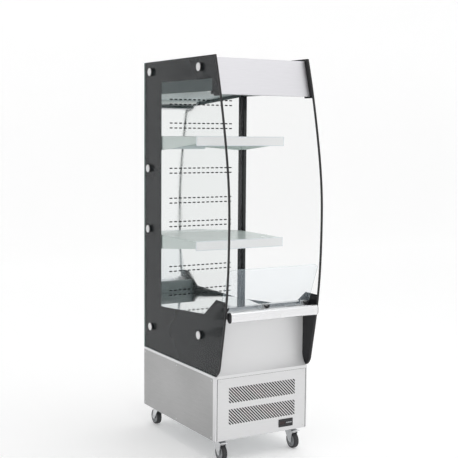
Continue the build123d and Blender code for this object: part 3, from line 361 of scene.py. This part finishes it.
# Making pieces
def addPiece(name, mesh, finish, body):
    piece = bpy.data.objects.new(name, mesh)
    bpy.context.scene.collection.objects.link(piece)
    mesh.materials.clear()
    mesh.materials.append(finishes[finish])
    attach(piece, body)
    return piece


def meshFrom(build, name):
    # a mesh from a bmesh, with its faces turned outwards
    bmesh.ops.remove_doubles(build, verts=build.verts, dist=1e-6)
    bmesh.ops.recalc_face_normals(build, faces=build.faces)
    mesh = bpy.data.meshes.new(name)
    build.to_mesh(mesh)
    build.free()
    return mesh


def addInto(build, other):
    # one bmesh copied into another
    spare = bpy.data.meshes.new("spare")
    other.to_mesh(spare)
    other.free()
    build.from_mesh(spare)
    bpy.data.meshes.remove(spare)


def loft(cornerRows):
    # a closed form through rows of corners, with its two end faces
    build = bmesh.new()
    rows = [[build.verts.new(corner) for corner in row] for row in cornerRows]
    for lower, upper in zip(rows, rows[1:]):
        for index in range(len(lower)):
            after = (index + 1) % len(lower)
            build.faces.new((lower[index], lower[after], upper[after], upper[index]))
    return build, [build.faces.new(rows[0]), build.faces.new(rows[-1])]


def ringProfile(profile, steps):
    # a turned shape about Z from pairs of radius and height
    turns = [math.tau * index / steps for index in range(steps)]
    return loft([[(radius * math.cos(turn), radius * math.sin(turn), height) for turn in turns]
                 for radius, height in profile])[0]


def barProfile(outline, low, high, name):
    # a closed outline of Y and Z places, drawn out along X
    return meshFrom(loft([[(x, y, z) for y, z in outline] for x in (low, high)])[0], name)


# Helpers for the Geometry Nodes trees
def newTree(name, inputs, output):
    tree = bpy.data.node_groups.new(name, "GeometryNodeTree")
    for label, kind in inputs.items():
        tree.interface.new_socket(label, in_out="INPUT", socket_type="NodeSocket" + kind)
    tree.interface.new_socket(output, in_out="OUTPUT", socket_type="NodeSocketGeometry")
    return tree, tree.nodes.new("NodeGroupInput").outputs, tree.nodes.new("NodeGroupOutput")


def facingOutput(tree):
    # the direction stored on each point
    facing = tree.nodes.new("GeometryNodeInputNamedAttribute")
    facing.data_type = "FLOAT_VECTOR"
    facing.inputs["Name"].default_value = "facing"
    return next(s for s in facing.outputs if s.enabled and s.name == "Attribute")


def copiesOn(tree, points, shape, **how):
    scatter = tree.nodes.new("GeometryNodeInstanceOnPoints")
    for socket, source in (("Points", points), ("Instance", shape), *how.items()):
        tree.links.new(source, scatter.inputs[socket])
    return scatter.outputs["Instances"]


def madeReal(tree, copies):
    real = tree.nodes.new("GeometryNodeRealizeInstances")
    tree.links.new(copies, real.inputs["Geometry"])
    return real.outputs["Geometry"]


def tubesAlong(tree, curves, radius, sides):
    outline = tree.nodes.new("GeometryNodeCurvePrimitiveCircle")
    outline.inputs["Resolution"].default_value = sides
    tube = tree.nodes.new("GeometryNodeCurveToMesh")
    tube.inputs["Fill Caps"].default_value = True
    tree.links.new(radius, outline.inputs["Radius"])
    tree.links.new(curves, tube.inputs["Curve"])
    tree.links.new(outline.outputs["Curve"], tube.inputs["Profile Curve"])
    return tube.outputs["Mesh"]


def paintInto(tree, shape, finish, result):
    paint = tree.nodes.new("GeometryNodeSetMaterial")
    tree.links.new(shape, paint.inputs["Geometry"])
    tree.links.new(finish, paint.inputs["Material"])
    tree.links.new(paint.outputs["Geometry"], result.inputs[0])


def facingPoints(name, places):
    # points from pairs of position and outward direction
    cloud = bpy.data.meshes.new(name + "Points")
    cloud.from_pydata([spot for spot, _ in places], [], [])
    facing = cloud.attributes.new("facing", "FLOAT_VECTOR", "POINT")
    for index, (_, way) in enumerate(places):
        facing.data[index].vector = way
    return cloud


def bakeTree(name, tree, start, values):
    # the plain mesh that a tree makes of a start mesh
    host = bpy.data.objects.new(name + "Host", start)
    bpy.context.scene.collection.objects.link(host)
    modifier = host.modifiers.new("tree", "NODES")
    modifier.node_group = tree
    for item in tree.interface.items_tree:
        if item.in_out == "INPUT" and item.name in values:
            modifier[item.identifier] = values[item.name]
    seen = host.evaluated_get(bpy.context.evaluated_depsgraph_get())
    mesh = bpy.data.meshes.new_from_object(seen)
    mesh.name = name
    host.modifiers.remove(modifier)
    bpy.data.objects.remove(host)
    return mesh


# Geometry Nodes: heads set on points, each facing its own way
# Each head turns by chance about its own axis, at most so many radians
headTurn = {"seed": 7, "screw": 6.28, "bolt": 0.0, "nut": 0.5}


def headTree():
    inputs = {"Points": "Geometry", "Head": "Object", "Turn": "Float", "Finish": "Material"}
    tree, given, result = newTree("setHeads", inputs, "Heads")
    nodes, link = tree.nodes, tree.links.new
    head = nodes.new("GeometryNodeObjectInfo")
    align = nodes.new("FunctionNodeAlignRotationToVector")
    align.axis = "Z"
    chance = nodes.new("FunctionNodeRandomValue")
    chance.data_type = "FLOAT"
    chance.inputs["Seed"].default_value = headTurn["seed"]
    spin = nodes.new("FunctionNodeAxisAngleToRotation")
    spin.inputs["Axis"].default_value = (0, 0, 1)
    turned = nodes.new("FunctionNodeRotateRotation")
    turned.rotation_space = "LOCAL"
    link(given["Head"], head.inputs["Object"])
    link(facingOutput(tree), align.inputs["Vector"])
    link(given["Turn"], chance.inputs[3])
    link(chance.outputs[1], spin.inputs["Angle"])
    link(align.outputs["Rotation"], turned.inputs["Rotation"])
    link(spin.outputs["Rotation"], turned.inputs["Rotate By"])
    heads = copiesOn(tree, given["Points"], head.outputs["Geometry"],
                     Rotation=turned.outputs["Rotation"])
    paintInto(tree, madeReal(tree, heads), given["Finish"], result)
    return tree


headsOnPoints = headTree()


def setHeads(name, head, places, body, finish, turn=headTurn["screw"]):
    values = {"Head": head, "Turn": turn, "Finish": finishes[finish]}
    mesh = bakeTree(name, headsOnPoints, facingPoints(name, places), values)
    return addPiece(name, mesh, finish, body)


def headObject(name, mesh):
    # a model head that is only copied from, and removed once the heads are set
    model = bpy.data.objects.new(name, mesh)
    bpy.context.scene.collection.objects.link(model)
    return model


# Screws: a low domed head with a cross recess
screwSize = {"radius": 4.0 * mm, "rise": 1.3 * mm, "slot": 0.9 * mm, "reach": 2.3 * mm, "steps": 24,
             "recessDepth": 0.35, "recessTaper": 0.8}


def crossScrew():
    radius, rise = screwSize["radius"], screwSize["rise"]
    profile = [(radius, 0), (radius, rise * 0.25), (radius * 0.86, rise * 0.7), (radius * 0.6, rise)]
    build = ringProfile(profile, screwSize["steps"])
    top = max(build.faces, key=lambda f: f.calc_center_median().z)
    bmesh.ops.delete(build, geom=[top], context="FACES_ONLY")
    rim = [v for v in build.verts if abs(v.co.z - rise) < 1e-7]
    rim.sort(key=lambda v: math.atan2(v.co.y, v.co.x))
    arm, half = screwSize["reach"], screwSize["slot"] / 2
    cross = [(arm, -half), (arm, half), (half, half), (half, arm), (-half, arm), (-half, half)]
    cross += [(-x, -y) for x, y in cross]
    taper, depth = screwSize["recessTaper"], rise * screwSize["recessDepth"]
    upper = [build.verts.new((x, y, rise * 1.02)) for x, y in cross]
    lower = [build.verts.new((x * taper, y * taper, depth)) for x, y in cross]
    for index in range(len(cross)):
        after = (index + 1) % len(cross)
        build.faces.new((upper[index], upper[after], lower[after], lower[index]))
    build.faces.new(lower)
    edges = [build.edges.get((row[i - 1], row[i])) for row in (rim, upper) for i in range(len(row))]
    bmesh.ops.triangle_fill(build, edges=[e for e in edges if e], use_beauty=True)
    return headObject("screwModel", meshFrom(build, "screwModel"))


# Bolts and nuts: a six-sided head on a washer, which is that many times as wide
boltSize = {"radius": 5.0 * mm, "rise": 4.0 * mm, "washer": 1.35}
nutSize = {"radius": 6.5 * mm, "rise": 3.2 * mm, "washer": 1.25}


def hexBolt(name, radius, rise, washer):
    foot = rise * 0.18
    build = ringProfile([(radius * washer, 0), (radius * washer, foot)], 24)
    addInto(build, ringProfile([(radius, foot), (radius, rise * 0.88), (radius * 0.86, rise)], 6))
    return headObject(name, meshFrom(build, name))


screwModel = crossScrew()
boltModel = hexBolt("boltModel", **boltSize)
nutModel = hexBolt("nutModel", **nutSize)

# How far in from the edges of its panel each group of screws stands, and the rows on the wall
screwInset = {
    "side": 14 * mm, "sideEnd": 12 * mm, "rear": 30 * mm, "rearEnd": 9 * mm, "wall": 14 * mm,
    "wallEnd": 30 * mm, "wallRows": 6, "top": 14 * mm, "topFront": 40 * mm, "topBack": 20 * mm,
    "shroud": 9 * mm, "shroudFoot": 20 * mm, "shroudEnd": 12 * mm, "shroudSkin": 2 * mm,
    "grille": 12 * mm,
}


def screwPlaces():
    # base sides, base rear panel, rear wall, canopy top and condenser shroud
    inset, places = screwInset, []
    low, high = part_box("base_sides")
    for side, x in ((-1, low.x), (1, high.x)):
        for y in (low.y + inset["side"], (low.y + high.y) / 2, high.y - inset["side"]):
            for z in (low.z + inset["sideEnd"], high.z - inset["sideEnd"]):
                places.append(((x, y, z), (side, 0, 0)))
    low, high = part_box("base_rear_panel")
    for x in (low.x + inset["rear"], 0, high.x - inset["rear"]):
        for z in (low.z + inset["rearEnd"], high.z - inset["rearEnd"]):
            places.append(((x, high.y, z), (0, 1, 0)))
    low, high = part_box("rear_wall")
    rise = (high.z - low.z - 2 * inset["wallEnd"]) / (inset["wallRows"] - 1)
    for x in (low.x + inset["wall"], high.x - inset["wall"]):
        for row in range(inset["wallRows"]):
            places.append(((x, high.y, low.z + inset["wallEnd"] + rise * row), (0, 1, 0)))
    low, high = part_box("canopy_shell")
    for x in (low.x + inset["top"], 0, high.x - inset["top"]):
        for y in (low.y + inset["topFront"], (low.y + high.y) / 2, high.y - inset["topBack"]):
            places.append(((x, y, high.z), (0, 0, 1)))
    low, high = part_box("condenser_shroud")
    for x in (low.x + inset["shroud"], high.x - inset["shroud"]):
        for z in (low.z + inset["shroudFoot"], high.z - inset["shroudEnd"]):
            places.append(((x, low.y + inset["shroudSkin"], z), (0, 1, 0)))
    return places


setHeads("panelScrews", screwModel, screwPlaces(), "cabinet", "zincSteel")

low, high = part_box("grille_panel")
grilleX = (low.x + screwInset["grille"], high.x - screwInset["grille"])
grilleZ = (low.z + screwInset["grille"], high.z - screwInset["grille"])
grilleScrews = [((x, low.y, z), (0, -1, 0)) for x in grilleX for z in grilleZ]
setHeads("grilleScrews", screwModel, grilleScrews, "cabinet", "discSteel")

# Castor bolts about the king pin, under a plate, and a nut at each end of the axle
castorHeads = {"across": 32 * mm, "along": 24 * mm, "plate": 3 * mm, "axleEnd": 17 * mm}
joints = {joint["name"]: joint for joint in frame["joints"]}
plateBolts = []
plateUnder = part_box("castor_plates")[1].z - castorHeads["plate"]
for corner in corners:
    kingX, kingY, _ = joints["castor_swivel_" + corner]["pos_m"]
    for x in (kingX - castorHeads["across"], kingX + castorHeads["across"]):
        for y in (kingY - castorHeads["along"], kingY + castorHeads["along"]):
            plateBolts.append(((x, y, plateUnder), (0, 0, -1)))
setHeads("castorPlateBolts", boltModel, plateBolts, "cabinet", "zincSteel",
         headTurn["bolt"])
for corner in corners:
    axleX, axleY, axleZ = joints["castor_roll_" + corner]["pos_m"]
    places = [((axleX + side * castorHeads["axleEnd"], axleY, axleZ), (side, 0, 0))
              for side in (-1, 1)]
    setHeads(f"axleNuts_{corner}", nutModel, places, f"fork_{corner}", "zincSteel",
             headTurn["nut"])
for model in (screwModel, boltModel, nutModel):
    bpy.data.objects.remove(model)
print("screws, bolts and nuts set")


# Geometry Nodes: wire guard of rings and spokes
guardSize = {"wire": 1.1 * mm, "rings": 6, "spokes": 8, "hub": 26 * mm, "sides": 8,
             "ringSteps": 64, "lift": 1.9, "condenser": 97 * mm, "condenserBack": 7 * mm,
             "evaporator": 82 * mm, "evaporatorFront": 6.5 * mm}


def guardTree():
    inputs = {"Base": "Geometry", "Radius": "Float", "Hub": "Float", "Wire": "Float",
              "Rings": "Int", "Spokes": "Int", "Finish": "Material"}
    tree, given, result = newTree("wireGuard", inputs, "Guard")
    nodes, link = tree.nodes, tree.links.new

    def pointRow(count):
        row = nodes.new("GeometryNodeMeshLine")
        row.inputs["Offset"].default_value = (0, 0, 0)
        link(count, row.inputs["Count"])
        return row.outputs["Mesh"]

    def vectorOf(**axes):
        together = nodes.new("ShaderNodeCombineXYZ")
        for axis, source in axes.items():
            link(source, together.inputs[axis])
        return together.outputs["Vector"]

    index = nodes.new("GeometryNodeInputIndex").outputs[0]
    share = mathNode(tree, "DIVIDE", index, mathNode(tree, "SUBTRACT", given["Rings"], 1))
    gap = mathNode(tree, "SUBTRACT", given["Radius"], given["Hub"])
    size = mathNode(tree, "ADD", mathNode(tree, "MULTIPLY", share, gap), given["Hub"])
    circle = nodes.new("GeometryNodeCurvePrimitiveCircle")
    circle.inputs["Resolution"].default_value = guardSize["ringSteps"]
    circle.inputs["Radius"].default_value = 1.0
    rings = copiesOn(tree, pointRow(given["Rings"]), circle.outputs["Curve"],
                     Scale=vectorOf(X=size, Y=size, Z=size))

    spoke = nodes.new("GeometryNodeCurvePrimitiveLine")
    lift = mathNode(tree, "MULTIPLY", given["Wire"], guardSize["lift"])  # spokes lie on the rings
    link(vectorOf(X=given["Hub"], Z=lift), spoke.inputs["Start"])
    link(vectorOf(X=given["Radius"], Z=lift), spoke.inputs["End"])
    turn = mathNode(tree, "MULTIPLY", index, mathNode(tree, "DIVIDE", math.tau, given["Spokes"]))
    spokes = copiesOn(tree, pointRow(given["Spokes"]), spoke.outputs["Curve"],
                      Rotation=vectorOf(Z=turn))

    both = nodes.new("GeometryNodeJoinGeometry")
    link(rings, both.inputs["Geometry"])
    link(spokes, both.inputs["Geometry"])
    curves = madeReal(tree, both.outputs["Geometry"])
    wires = tubesAlong(tree, curves, given["Wire"], guardSize["sides"])
    paintInto(tree, wires, given["Finish"], result)
    return tree


guardNodes = guardTree()


def wireGuard(name, fanNode, y, radius):
    # a guard round a fan's axle, which runs along Y
    low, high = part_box(fanNode)
    centre = Vector(((low.x + high.x) / 2, y, (low.z + high.z) / 2))
    values = {"Radius": radius, "Hub": guardSize["hub"], "Wire": guardSize["wire"],
              "Rings": guardSize["rings"], "Spokes": guardSize["spokes"],
              "Finish": finishes["zincSteel"]}
    mesh = bakeTree(name, guardNodes, bpy.data.meshes.new(name + "Start"), values)
    turn = Vector((0, 0, 1)).rotation_difference(Vector((0, 1, 0))).to_matrix().to_4x4()
    mesh.transform(Matrix.Translation(centre) @ turn)
    addPiece(name, mesh, "zincSteel", "cabinet")


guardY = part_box("condenser_shroud")[1].y - guardSize["condenserBack"]
wireGuard("condenserGuard", "condenser_fan", guardY, guardSize["condenser"])
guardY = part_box("evaporator_fan_plate")[1].y + guardSize["evaporatorFront"]
wireGuard("evaporatorGuard", "evaporator_fan", guardY, guardSize["evaporator"])
print("fan guards made")


# Geometry Nodes: return bends on the condenser coil
bendSize = {"rows": (-22 * mm, 0.0, 22 * mm), "levels": range(-3, 4), "pitch": 25 * mm,
            "tube": 3.9 * mm, "sides": 12, "arcSteps": 12}


def bendTree():
    inputs = {"Points": "Geometry", "Bend": "Float", "Tube": "Float", "Finish": "Material"}
    tree, given, result = newTree("returnBends", inputs, "Bends")
    nodes, link = tree.nodes, tree.links.new
    arc = nodes.new("GeometryNodeCurveArc")
    arc.mode = "RADIUS"
    arc.inputs["Resolution"].default_value = bendSize["arcSteps"]
    arc.inputs["Sweep Angle"].default_value = math.pi
    align = nodes.new("FunctionNodeAlignRotationToVector")
    align.axis = "Y"
    align.pivot_axis = "Z"
    lift = nodes.new("FunctionNodeRotateRotation")
    lift.rotation_space = "LOCAL"
    lift.inputs["Rotate By"].default_value = (0, math.pi / 2, 0)
    link(given["Bend"], arc.inputs["Radius"])
    link(facingOutput(tree), align.inputs["Vector"])
    link(align.outputs["Rotation"], lift.inputs["Rotation"])
    arcs = copiesOn(tree, given["Points"], arc.outputs["Curve"], Rotation=lift.outputs["Rotation"])
    tubes = tubesAlong(tree, madeReal(tree, arcs), given["Tube"], bendSize["sides"])
    paintInto(tree, tubes, given["Finish"], result)
    return tree


def returnBends(name, node):
    # bends join neighbouring tubes upwards, one side starting a row higher than the other
    low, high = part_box(node)
    midY, midZ = (low.y + high.y) / 2, (low.z + high.z) / 2
    tubesZ = [midZ + bendSize["pitch"] * level for level in bendSize["levels"]]
    places = []
    for side, x, start in ((-1, low.x, 0), (1, high.x, 1)):
        for row in bendSize["rows"]:
            for index in range(start, len(tubesZ) - 1, 2):
                z = (tubesZ[index] + tubesZ[index + 1]) / 2
                places.append(((x, midY + row, z), (side, 0, 0)))
    values = {"Bend": bendSize["pitch"] / 2, "Tube": bendSize["tube"], "Finish": finishes["pipeCopper"]}
    mesh = bakeTree(name, bendTree(), facingPoints(name, places), values)
    addPiece(name, mesh, "pipeCopper", "cabinet")


returnBends("condenserBends", "condenser_coil")
print("return bends made")


# Ticket strips: a curled clear profile with a blank card in it
stripShape = {"wall": 1.0 * mm, "curl": 3.2 * mm, "lip": 1.6, "card": 0.5 * mm, "cardEnd": 1.8 * mm,
              "cardGap": 0.1 * mm, "cardEdge": 0.15 * mm, "inset": 4.0 * mm}


def curledOutline(front, back, low, high):
    # back plate, with lips that curl forward at the top and the bottom
    wall, curl, lip = stripShape["wall"], stripShape["curl"], stripShape["wall"] * stripShape["lip"]
    outline = [(back, low + wall), (back, high - wall), (back - wall, high)]
    outline += [(front + wall, high), (front, high - wall), (front, high - curl)]
    outline += [(front + wall, high - curl), (front + wall, high - lip), (back - wall, high - lip)]
    outline += [(back - wall, low + lip), (front + wall, low + lip), (front + wall, low + curl)]
    outline += [(front, low + curl), (front, low + wall), (front + wall, low), (back - wall, low)]
    return outline


def cardOutline(front, low, high):
    back, edge = front + stripShape["card"], stripShape["cardEdge"]
    return [(front, low + edge), (front, high - edge), (front + edge, high), (back, high),
            (back, low), (front + edge, low)]


for shelfName in ("lower", "upper"):
    node = f"ticket_strip_{shelfName}"
    stripName, cardName = f"ticketStrip_{shelfName}", f"blankCard_{shelfName}"
    low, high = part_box(node)
    profile = barProfile(curledOutline(low.y, high.y, low.z, high.z), low.x, high.x, stripName)
    strip = addPiece(stripName, profile, "stripClear", bodyOfNode[node])
    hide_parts(node)
    outline = cardOutline(low.y + stripShape["wall"] + stripShape["cardGap"],
                          low.z + stripShape["cardEnd"], high.z - stripShape["cardEnd"])
    card = barProfile(outline, low.x + stripShape["inset"], high.x - stripShape["inset"], cardName)
    addPiece(cardName, card, "cardWhite", bodyOfNode[node])
print("ticket strips made")


# Foam seals in the grooves beside the grille panel, black as painted shade in the grooves
sealShape = {"groove": 3.0 * mm, "recess": 0.6 * mm, "depth": 3.0 * mm, "clear": 0.04 * mm,
             "slope": 0.5 * mm, "end": 1 * mm}
low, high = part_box("grille_panel")
sealFront = low.y + sealShape["recess"]
sealBack = low.y + sealShape["depth"] - sealShape["clear"]
for sideName, edge, way in (("left", low.x, -1), ("right", high.x, 1)):
    near = edge + way * sealShape["clear"]
    far = edge + way * (sealShape["groove"] - sealShape["clear"])
    outline = [(near, sealBack), (near, sealFront + sealShape["slope"]),
               ((near + far) / 2, sealFront), (far, sealFront + sealShape["slope"]),
               (far, sealBack)]
    ends = (low.z + sealShape["end"], high.z - sealShape["end"])
    build = loft([[(x, y, z) for x, y in outline] for z in ends])[0]
    sealName = f"grilleSeal_{sideName}"
    addPiece(sealName, meshFrom(build, sealName), "edgeRubber", "cabinet")
print("grille seals made")


# Gasket in the seam between the front panel's foot and the grille panel, black as painted shadow in the seam
gasketShape = {"clear": 0.05 * mm, "sink": 0.15 * mm, "deep": 1.5 * mm, "slope": 0.2 * mm}
grilleLow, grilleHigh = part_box("grille_panel")
front, back = grilleLow.y + gasketShape["sink"], grilleLow.y + gasketShape["deep"]
foot = grilleHigh.z + gasketShape["clear"]
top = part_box("front_panel")[0].z - gasketShape["clear"]
outline = [(back, foot), (back, top), (front + gasketShape["slope"], top),
           (front, (foot + top) / 2), (front + gasketShape["slope"], foot)]
gasket = barProfile(outline, grilleLow.x, grilleHigh.x, "footGasket")
addPiece("footGasket", gasket, "edgeRubber", "cabinet")
print("foot gasket made")


# Clamp knobs on the front glass: a winged grip on a short stem
knobShape = {"stem": 4.5 * mm, "stemSteps": 24, "reach": 3.0 * mm, "depth": 8.0 * mm,
             "round": 1.3 * mm, "roundSteps": 3, "roundness": 0.6, "drop": 11 * mm,
             "inset": 24 * mm, "front": -339.6 * mm, "clear": 0.05 * mm}
wingOutline = [(0, -7), (5, -6.4), (9, -3.4), (12.6, 2.2), (14.6, 7.4), (14.0, 10.2), (11.4, 10.6),
               (8.6, 7.4), (5.4, 3.4), (2.6, 1.8), (0, 1.4)]


def clampKnob(name, place):
    depth, reach = knobShape["depth"], knobShape["reach"]
    half = [(x * mm, z * mm) for x, z in wingOutline]
    outline = half + [(-x, z) for x, z in reversed(half[1:-1])]
    build, caps = loft([[(x, y, z) for x, z in outline] for y in (-reach, -reach - depth)])
    rims = [edge for cap in caps for edge in cap.edges]
    bmesh.ops.bevel(build, geom=rims, offset=knobShape["round"], segments=knobShape["roundSteps"],
                    affect="EDGES", profile=knobShape["roundness"])
    radius = knobShape["stem"]
    stem = ringProfile([(radius, 0), (radius, reach - knobShape["clear"])], knobShape["stemSteps"])
    bmesh.ops.rotate(stem, verts=stem.verts, matrix=Matrix.Rotation(math.pi / 2, 3, "X"))
    addInto(build, stem)
    mesh = meshFrom(build, name)
    mesh.transform(Matrix.Translation(place))
    addPiece(name, mesh, "blackPlastic", "cabinet")


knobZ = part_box("front_brackets")[1].z - knobShape["drop"]
paneLow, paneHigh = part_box("front_glass")
knobRow = (paneLow.x + knobShape["inset"], 0.0, paneHigh.x - knobShape["inset"])
for number, x in enumerate(knobRow, 1):
    clampKnob(f"clampKnob_{number}", (x, knobShape["front"], knobZ))
print("clamp knobs made")


# Dust filter behind the grille: a pleated near-black mat on the panel's inner face, which is also painted shade
# behind the slots
filterShape = {"half": 184 * mm, "low": 168 * mm, "high": 348 * mm, "pleats": 45, "gap": 0.15 * mm,
               "thick": 1.2 * mm, "fold": 2.4 * mm, "sheet": 1.2 * mm}


def pleatedOutline():
    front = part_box("grille_panel")[0].y + filterShape["sheet"] + filterShape["gap"]
    folds = 2 * filterShape["pleats"]
    step = (filterShape["high"] - filterShape["low"]) / folds
    face = [(front + filterShape["fold"] * (index % 2), filterShape["low"] + step * index)
            for index in range(folds + 1)]
    return face + [(y + filterShape["thick"], z) for y, z in reversed(face)]


mat = barProfile(pleatedOutline(), -filterShape["half"], filterShape["half"], "dustFilter")
addPiece("dustFilter", mat, "filterFoam", "cabinet")
print("dust filter made")


# Edges of the glass panes, just under the surface of their narrow faces
edgeShape = {"depth": 0.12 * mm, "square": 0.35}


def glassEdge(node, flatAxis, finish):
    # the narrow faces of a pane, as a thin skin drawn inwards
    build = bmesh.new()
    build.from_mesh(cadNodes[node].data)
    bmesh.ops.remove_doubles(build, verts=build.verts, dist=1e-6)
    build.normal_update()
    wide = [f for f in build.faces if abs(f.normal.dot(flatAxis)) > edgeShape["square"]]
    bmesh.ops.delete(build, geom=wide, context="FACES")
    for vert in build.verts:
        vert.co -= vert.normal * edgeShape["depth"]
    mesh = bpy.data.meshes.new(node + "Edge")
    build.to_mesh(mesh)
    build.free()
    addPiece(node.replace("_", "") + "Edge", mesh, finish, bodyOfNode[node])


for node in ("side_glass_left", "side_glass_right"):
    glassEdge(node, Vector((1, 0, 0)), "glassEdge")
paneNormal = Vector((0, paneLow.z - paneHigh.z, paneLow.y - paneHigh.y)).normalized()
glassEdge("front_glass", paneNormal, "paneEdge")
print("glass edges made")


# Controller window: a dark inset display
displayShape = {"wide": 26 * mm, "tall": 16 * mm, "left": 18 * mm, "sink": 1.1 * mm,
                "corner": 2 * mm, "cornerSteps": 6, "thick": 0.6 * mm, "edge": 0.3 * mm,
                "edgeStart": 0.7}


def roundedPlate(x, y, z, shape, name):
    corner, steps, thick = shape["corner"], shape["cornerSteps"], shape["thick"]
    outline = []
    for cx, cz, start in ((1, 1, 0), (-1, 1, 90), (-1, -1, 180), (1, -1, 270)):
        for step in range(steps + 1):
            turn = math.radians(start + 90 * step / steps)
            outline.append((x + cx * (shape["wide"] / 2 - corner) + corner * math.cos(turn),
                            z + cz * (shape["tall"] / 2 - corner) + corner * math.sin(turn)))
    rows = []
    shoulder = y - thick * shape["edgeStart"]
    for depth, shrink in ((y, 0.0), (shoulder, 0.0), (y - thick, shape["edge"])):
        row = []
        for px, pz in outline:
            way = Vector((px - x, 0, pz - z)).normalized() * shrink
            row.append((px - way.x, depth, pz - way.z))
        rows.append(row)
    return meshFrom(loft(rows)[0], name)


low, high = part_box("controller")
display = roundedPlate((low.x + high.x) / 2 - displayShape["left"], low.y + displayShape["sink"],
                       (low.z + high.z) / 2, displayShape, "controllerDisplay")
addPiece("controllerDisplay", display, "displayDark", "cabinet")
print("controller window made")


# Floor, lights and camera
floorShape = {"reach": 9.0, "rise": 7.0, "bend": 3.0, "steps": 16, "tone": 0.90, "glow": 0.22}


def paleFloor():
    # a floor that bends up into a wall behind
    finish, tree, shader = startMaterial("paleFloor", (floorShape["tone"],) * 3, 0.0, 0.7)
    varyRoughness(tree, shader, grainNoise(tree, even, 1.2), 0.65, 0.75)
    shader.inputs["Emission Color"].default_value = (1, 1, 1, 1)
    shader.inputs["Emission Strength"].default_value = floorShape["glow"]
    reach, bend, steps = (floorShape[key] for key in ("reach", "bend", "steps"))
    sections = [(-reach, 0.0), (reach - bend, 0.0)]
    for step in range(1, steps + 1):
        turn = math.pi / 2 * step / steps
        sections.append((reach - bend + bend * math.sin(turn), bend - bend * math.cos(turn)))
    sections.append((reach, floorShape["rise"]))
    build = bmesh.new()
    rows = [[build.verts.new((x, y, z)) for x in (-2 * reach, 2 * reach)] for y, z in sections]
    for first, second in zip(rows, rows[1:]):
        build.faces.new((first[0], first[1], second[1], second[0]))
    mesh = bpy.data.meshes.new("paleFloor")
    build.to_mesh(mesh)
    build.free()
    mesh.materials.append(finish)
    for face in mesh.polygons:
        face.use_smooth = True
    floor = bpy.data.objects.new("paleFloor", mesh)
    bpy.context.scene.collection.objects.link(floor)


lights = {
    "topLight": {"place": (0.3, -1.2, 4.6), "aim": (0, 0, 0.6), "size": (3.5, 3.5), "power": 30},
    "frontLight": {"place": (-1.7, -4.7, 1.5), "aim": (0, 0, 0.8), "size": (2.2, 2.2), "power": 13},
}


def softLight(name, place, aim, size, power):
    lamp = bpy.data.lights.new(name, "AREA")
    lamp.shape = "RECTANGLE"
    lamp.size, lamp.size_y = size
    lamp.energy = power
    holder = bpy.data.objects.new(name, lamp)
    bpy.context.scene.collection.objects.link(holder)
    holder.location = place
    holder.rotation_euler = (Vector(aim) - Vector(place)).to_track_quat("-Z", "Y").to_euler()


# Brightness of the room at its left and right, and where each begins along X
room = {"dark": 0.45, "bright": 1.12, "left": -0.75, "right": 0.8}


def softRoom():
    # a bright room, darker towards the back left, which the cabinet's side mirrors
    world = bpy.data.worlds.new("softRoom")
    bpy.context.scene.world = world
    world.use_nodes = True
    tree = world.node_tree
    place = tree.nodes.new("ShaderNodeTexCoord")
    apart = tree.nodes.new("ShaderNodeSeparateXYZ")
    tree.links.new(place.outputs["Generated"], apart.inputs["Vector"])
    tone = spread(tree, apart.outputs["X"], room["dark"], room["bright"], room["left"], room["right"])
    together = tree.nodes.new("ShaderNodeCombineXYZ")
    for axis in ("X", "Y", "Z"):
        tree.links.new(tone, together.inputs[axis])
    tree.links.new(together.outputs["Vector"], tree.nodes["Background"].inputs["Color"])


# Camera at the photograph's viewing angle: heading from +Y towards +X, down and roll, in degrees
cameraView = {"place": (-2.4097, -4.0973, 1.4934), "heading": 30.470, "down": 5.603,
              "roll": -0.475, "lens": 78.18}


def placeCamera():
    data = bpy.data.cameras.new("camera")
    data.sensor_width = 36.0
    data.lens = cameraView["lens"]
    heading, down, roll = (math.radians(cameraView[key]) for key in ("heading", "down", "roll"))
    level = Vector((math.sin(heading), math.cos(heading), 0))
    right = Vector((math.cos(heading), -math.sin(heading), 0))
    below = Vector((0, 0, -1))
    ahead = level * math.cos(down) + below * math.sin(down)
    below = below * math.cos(down) - level * math.sin(down)
    right, below = (right * math.cos(roll) + below * math.sin(roll),
                    below * math.cos(roll) - right * math.sin(roll))
    turn = Matrix((right, -below, -ahead)).transposed().to_4x4()
    camera = bpy.data.objects.new("camera", data)
    camera.matrix_world = Matrix.Translation(cameraView["place"]) @ turn
    bpy.context.scene.collection.objects.link(camera)
    bpy.context.scene.camera = camera


paleFloor()
softRoom()
for name, setting in lights.items():
    softLight(name, **setting)
placeCamera()
bpy.context.scene.view_settings.view_transform = "Standard"
print("scene ready")
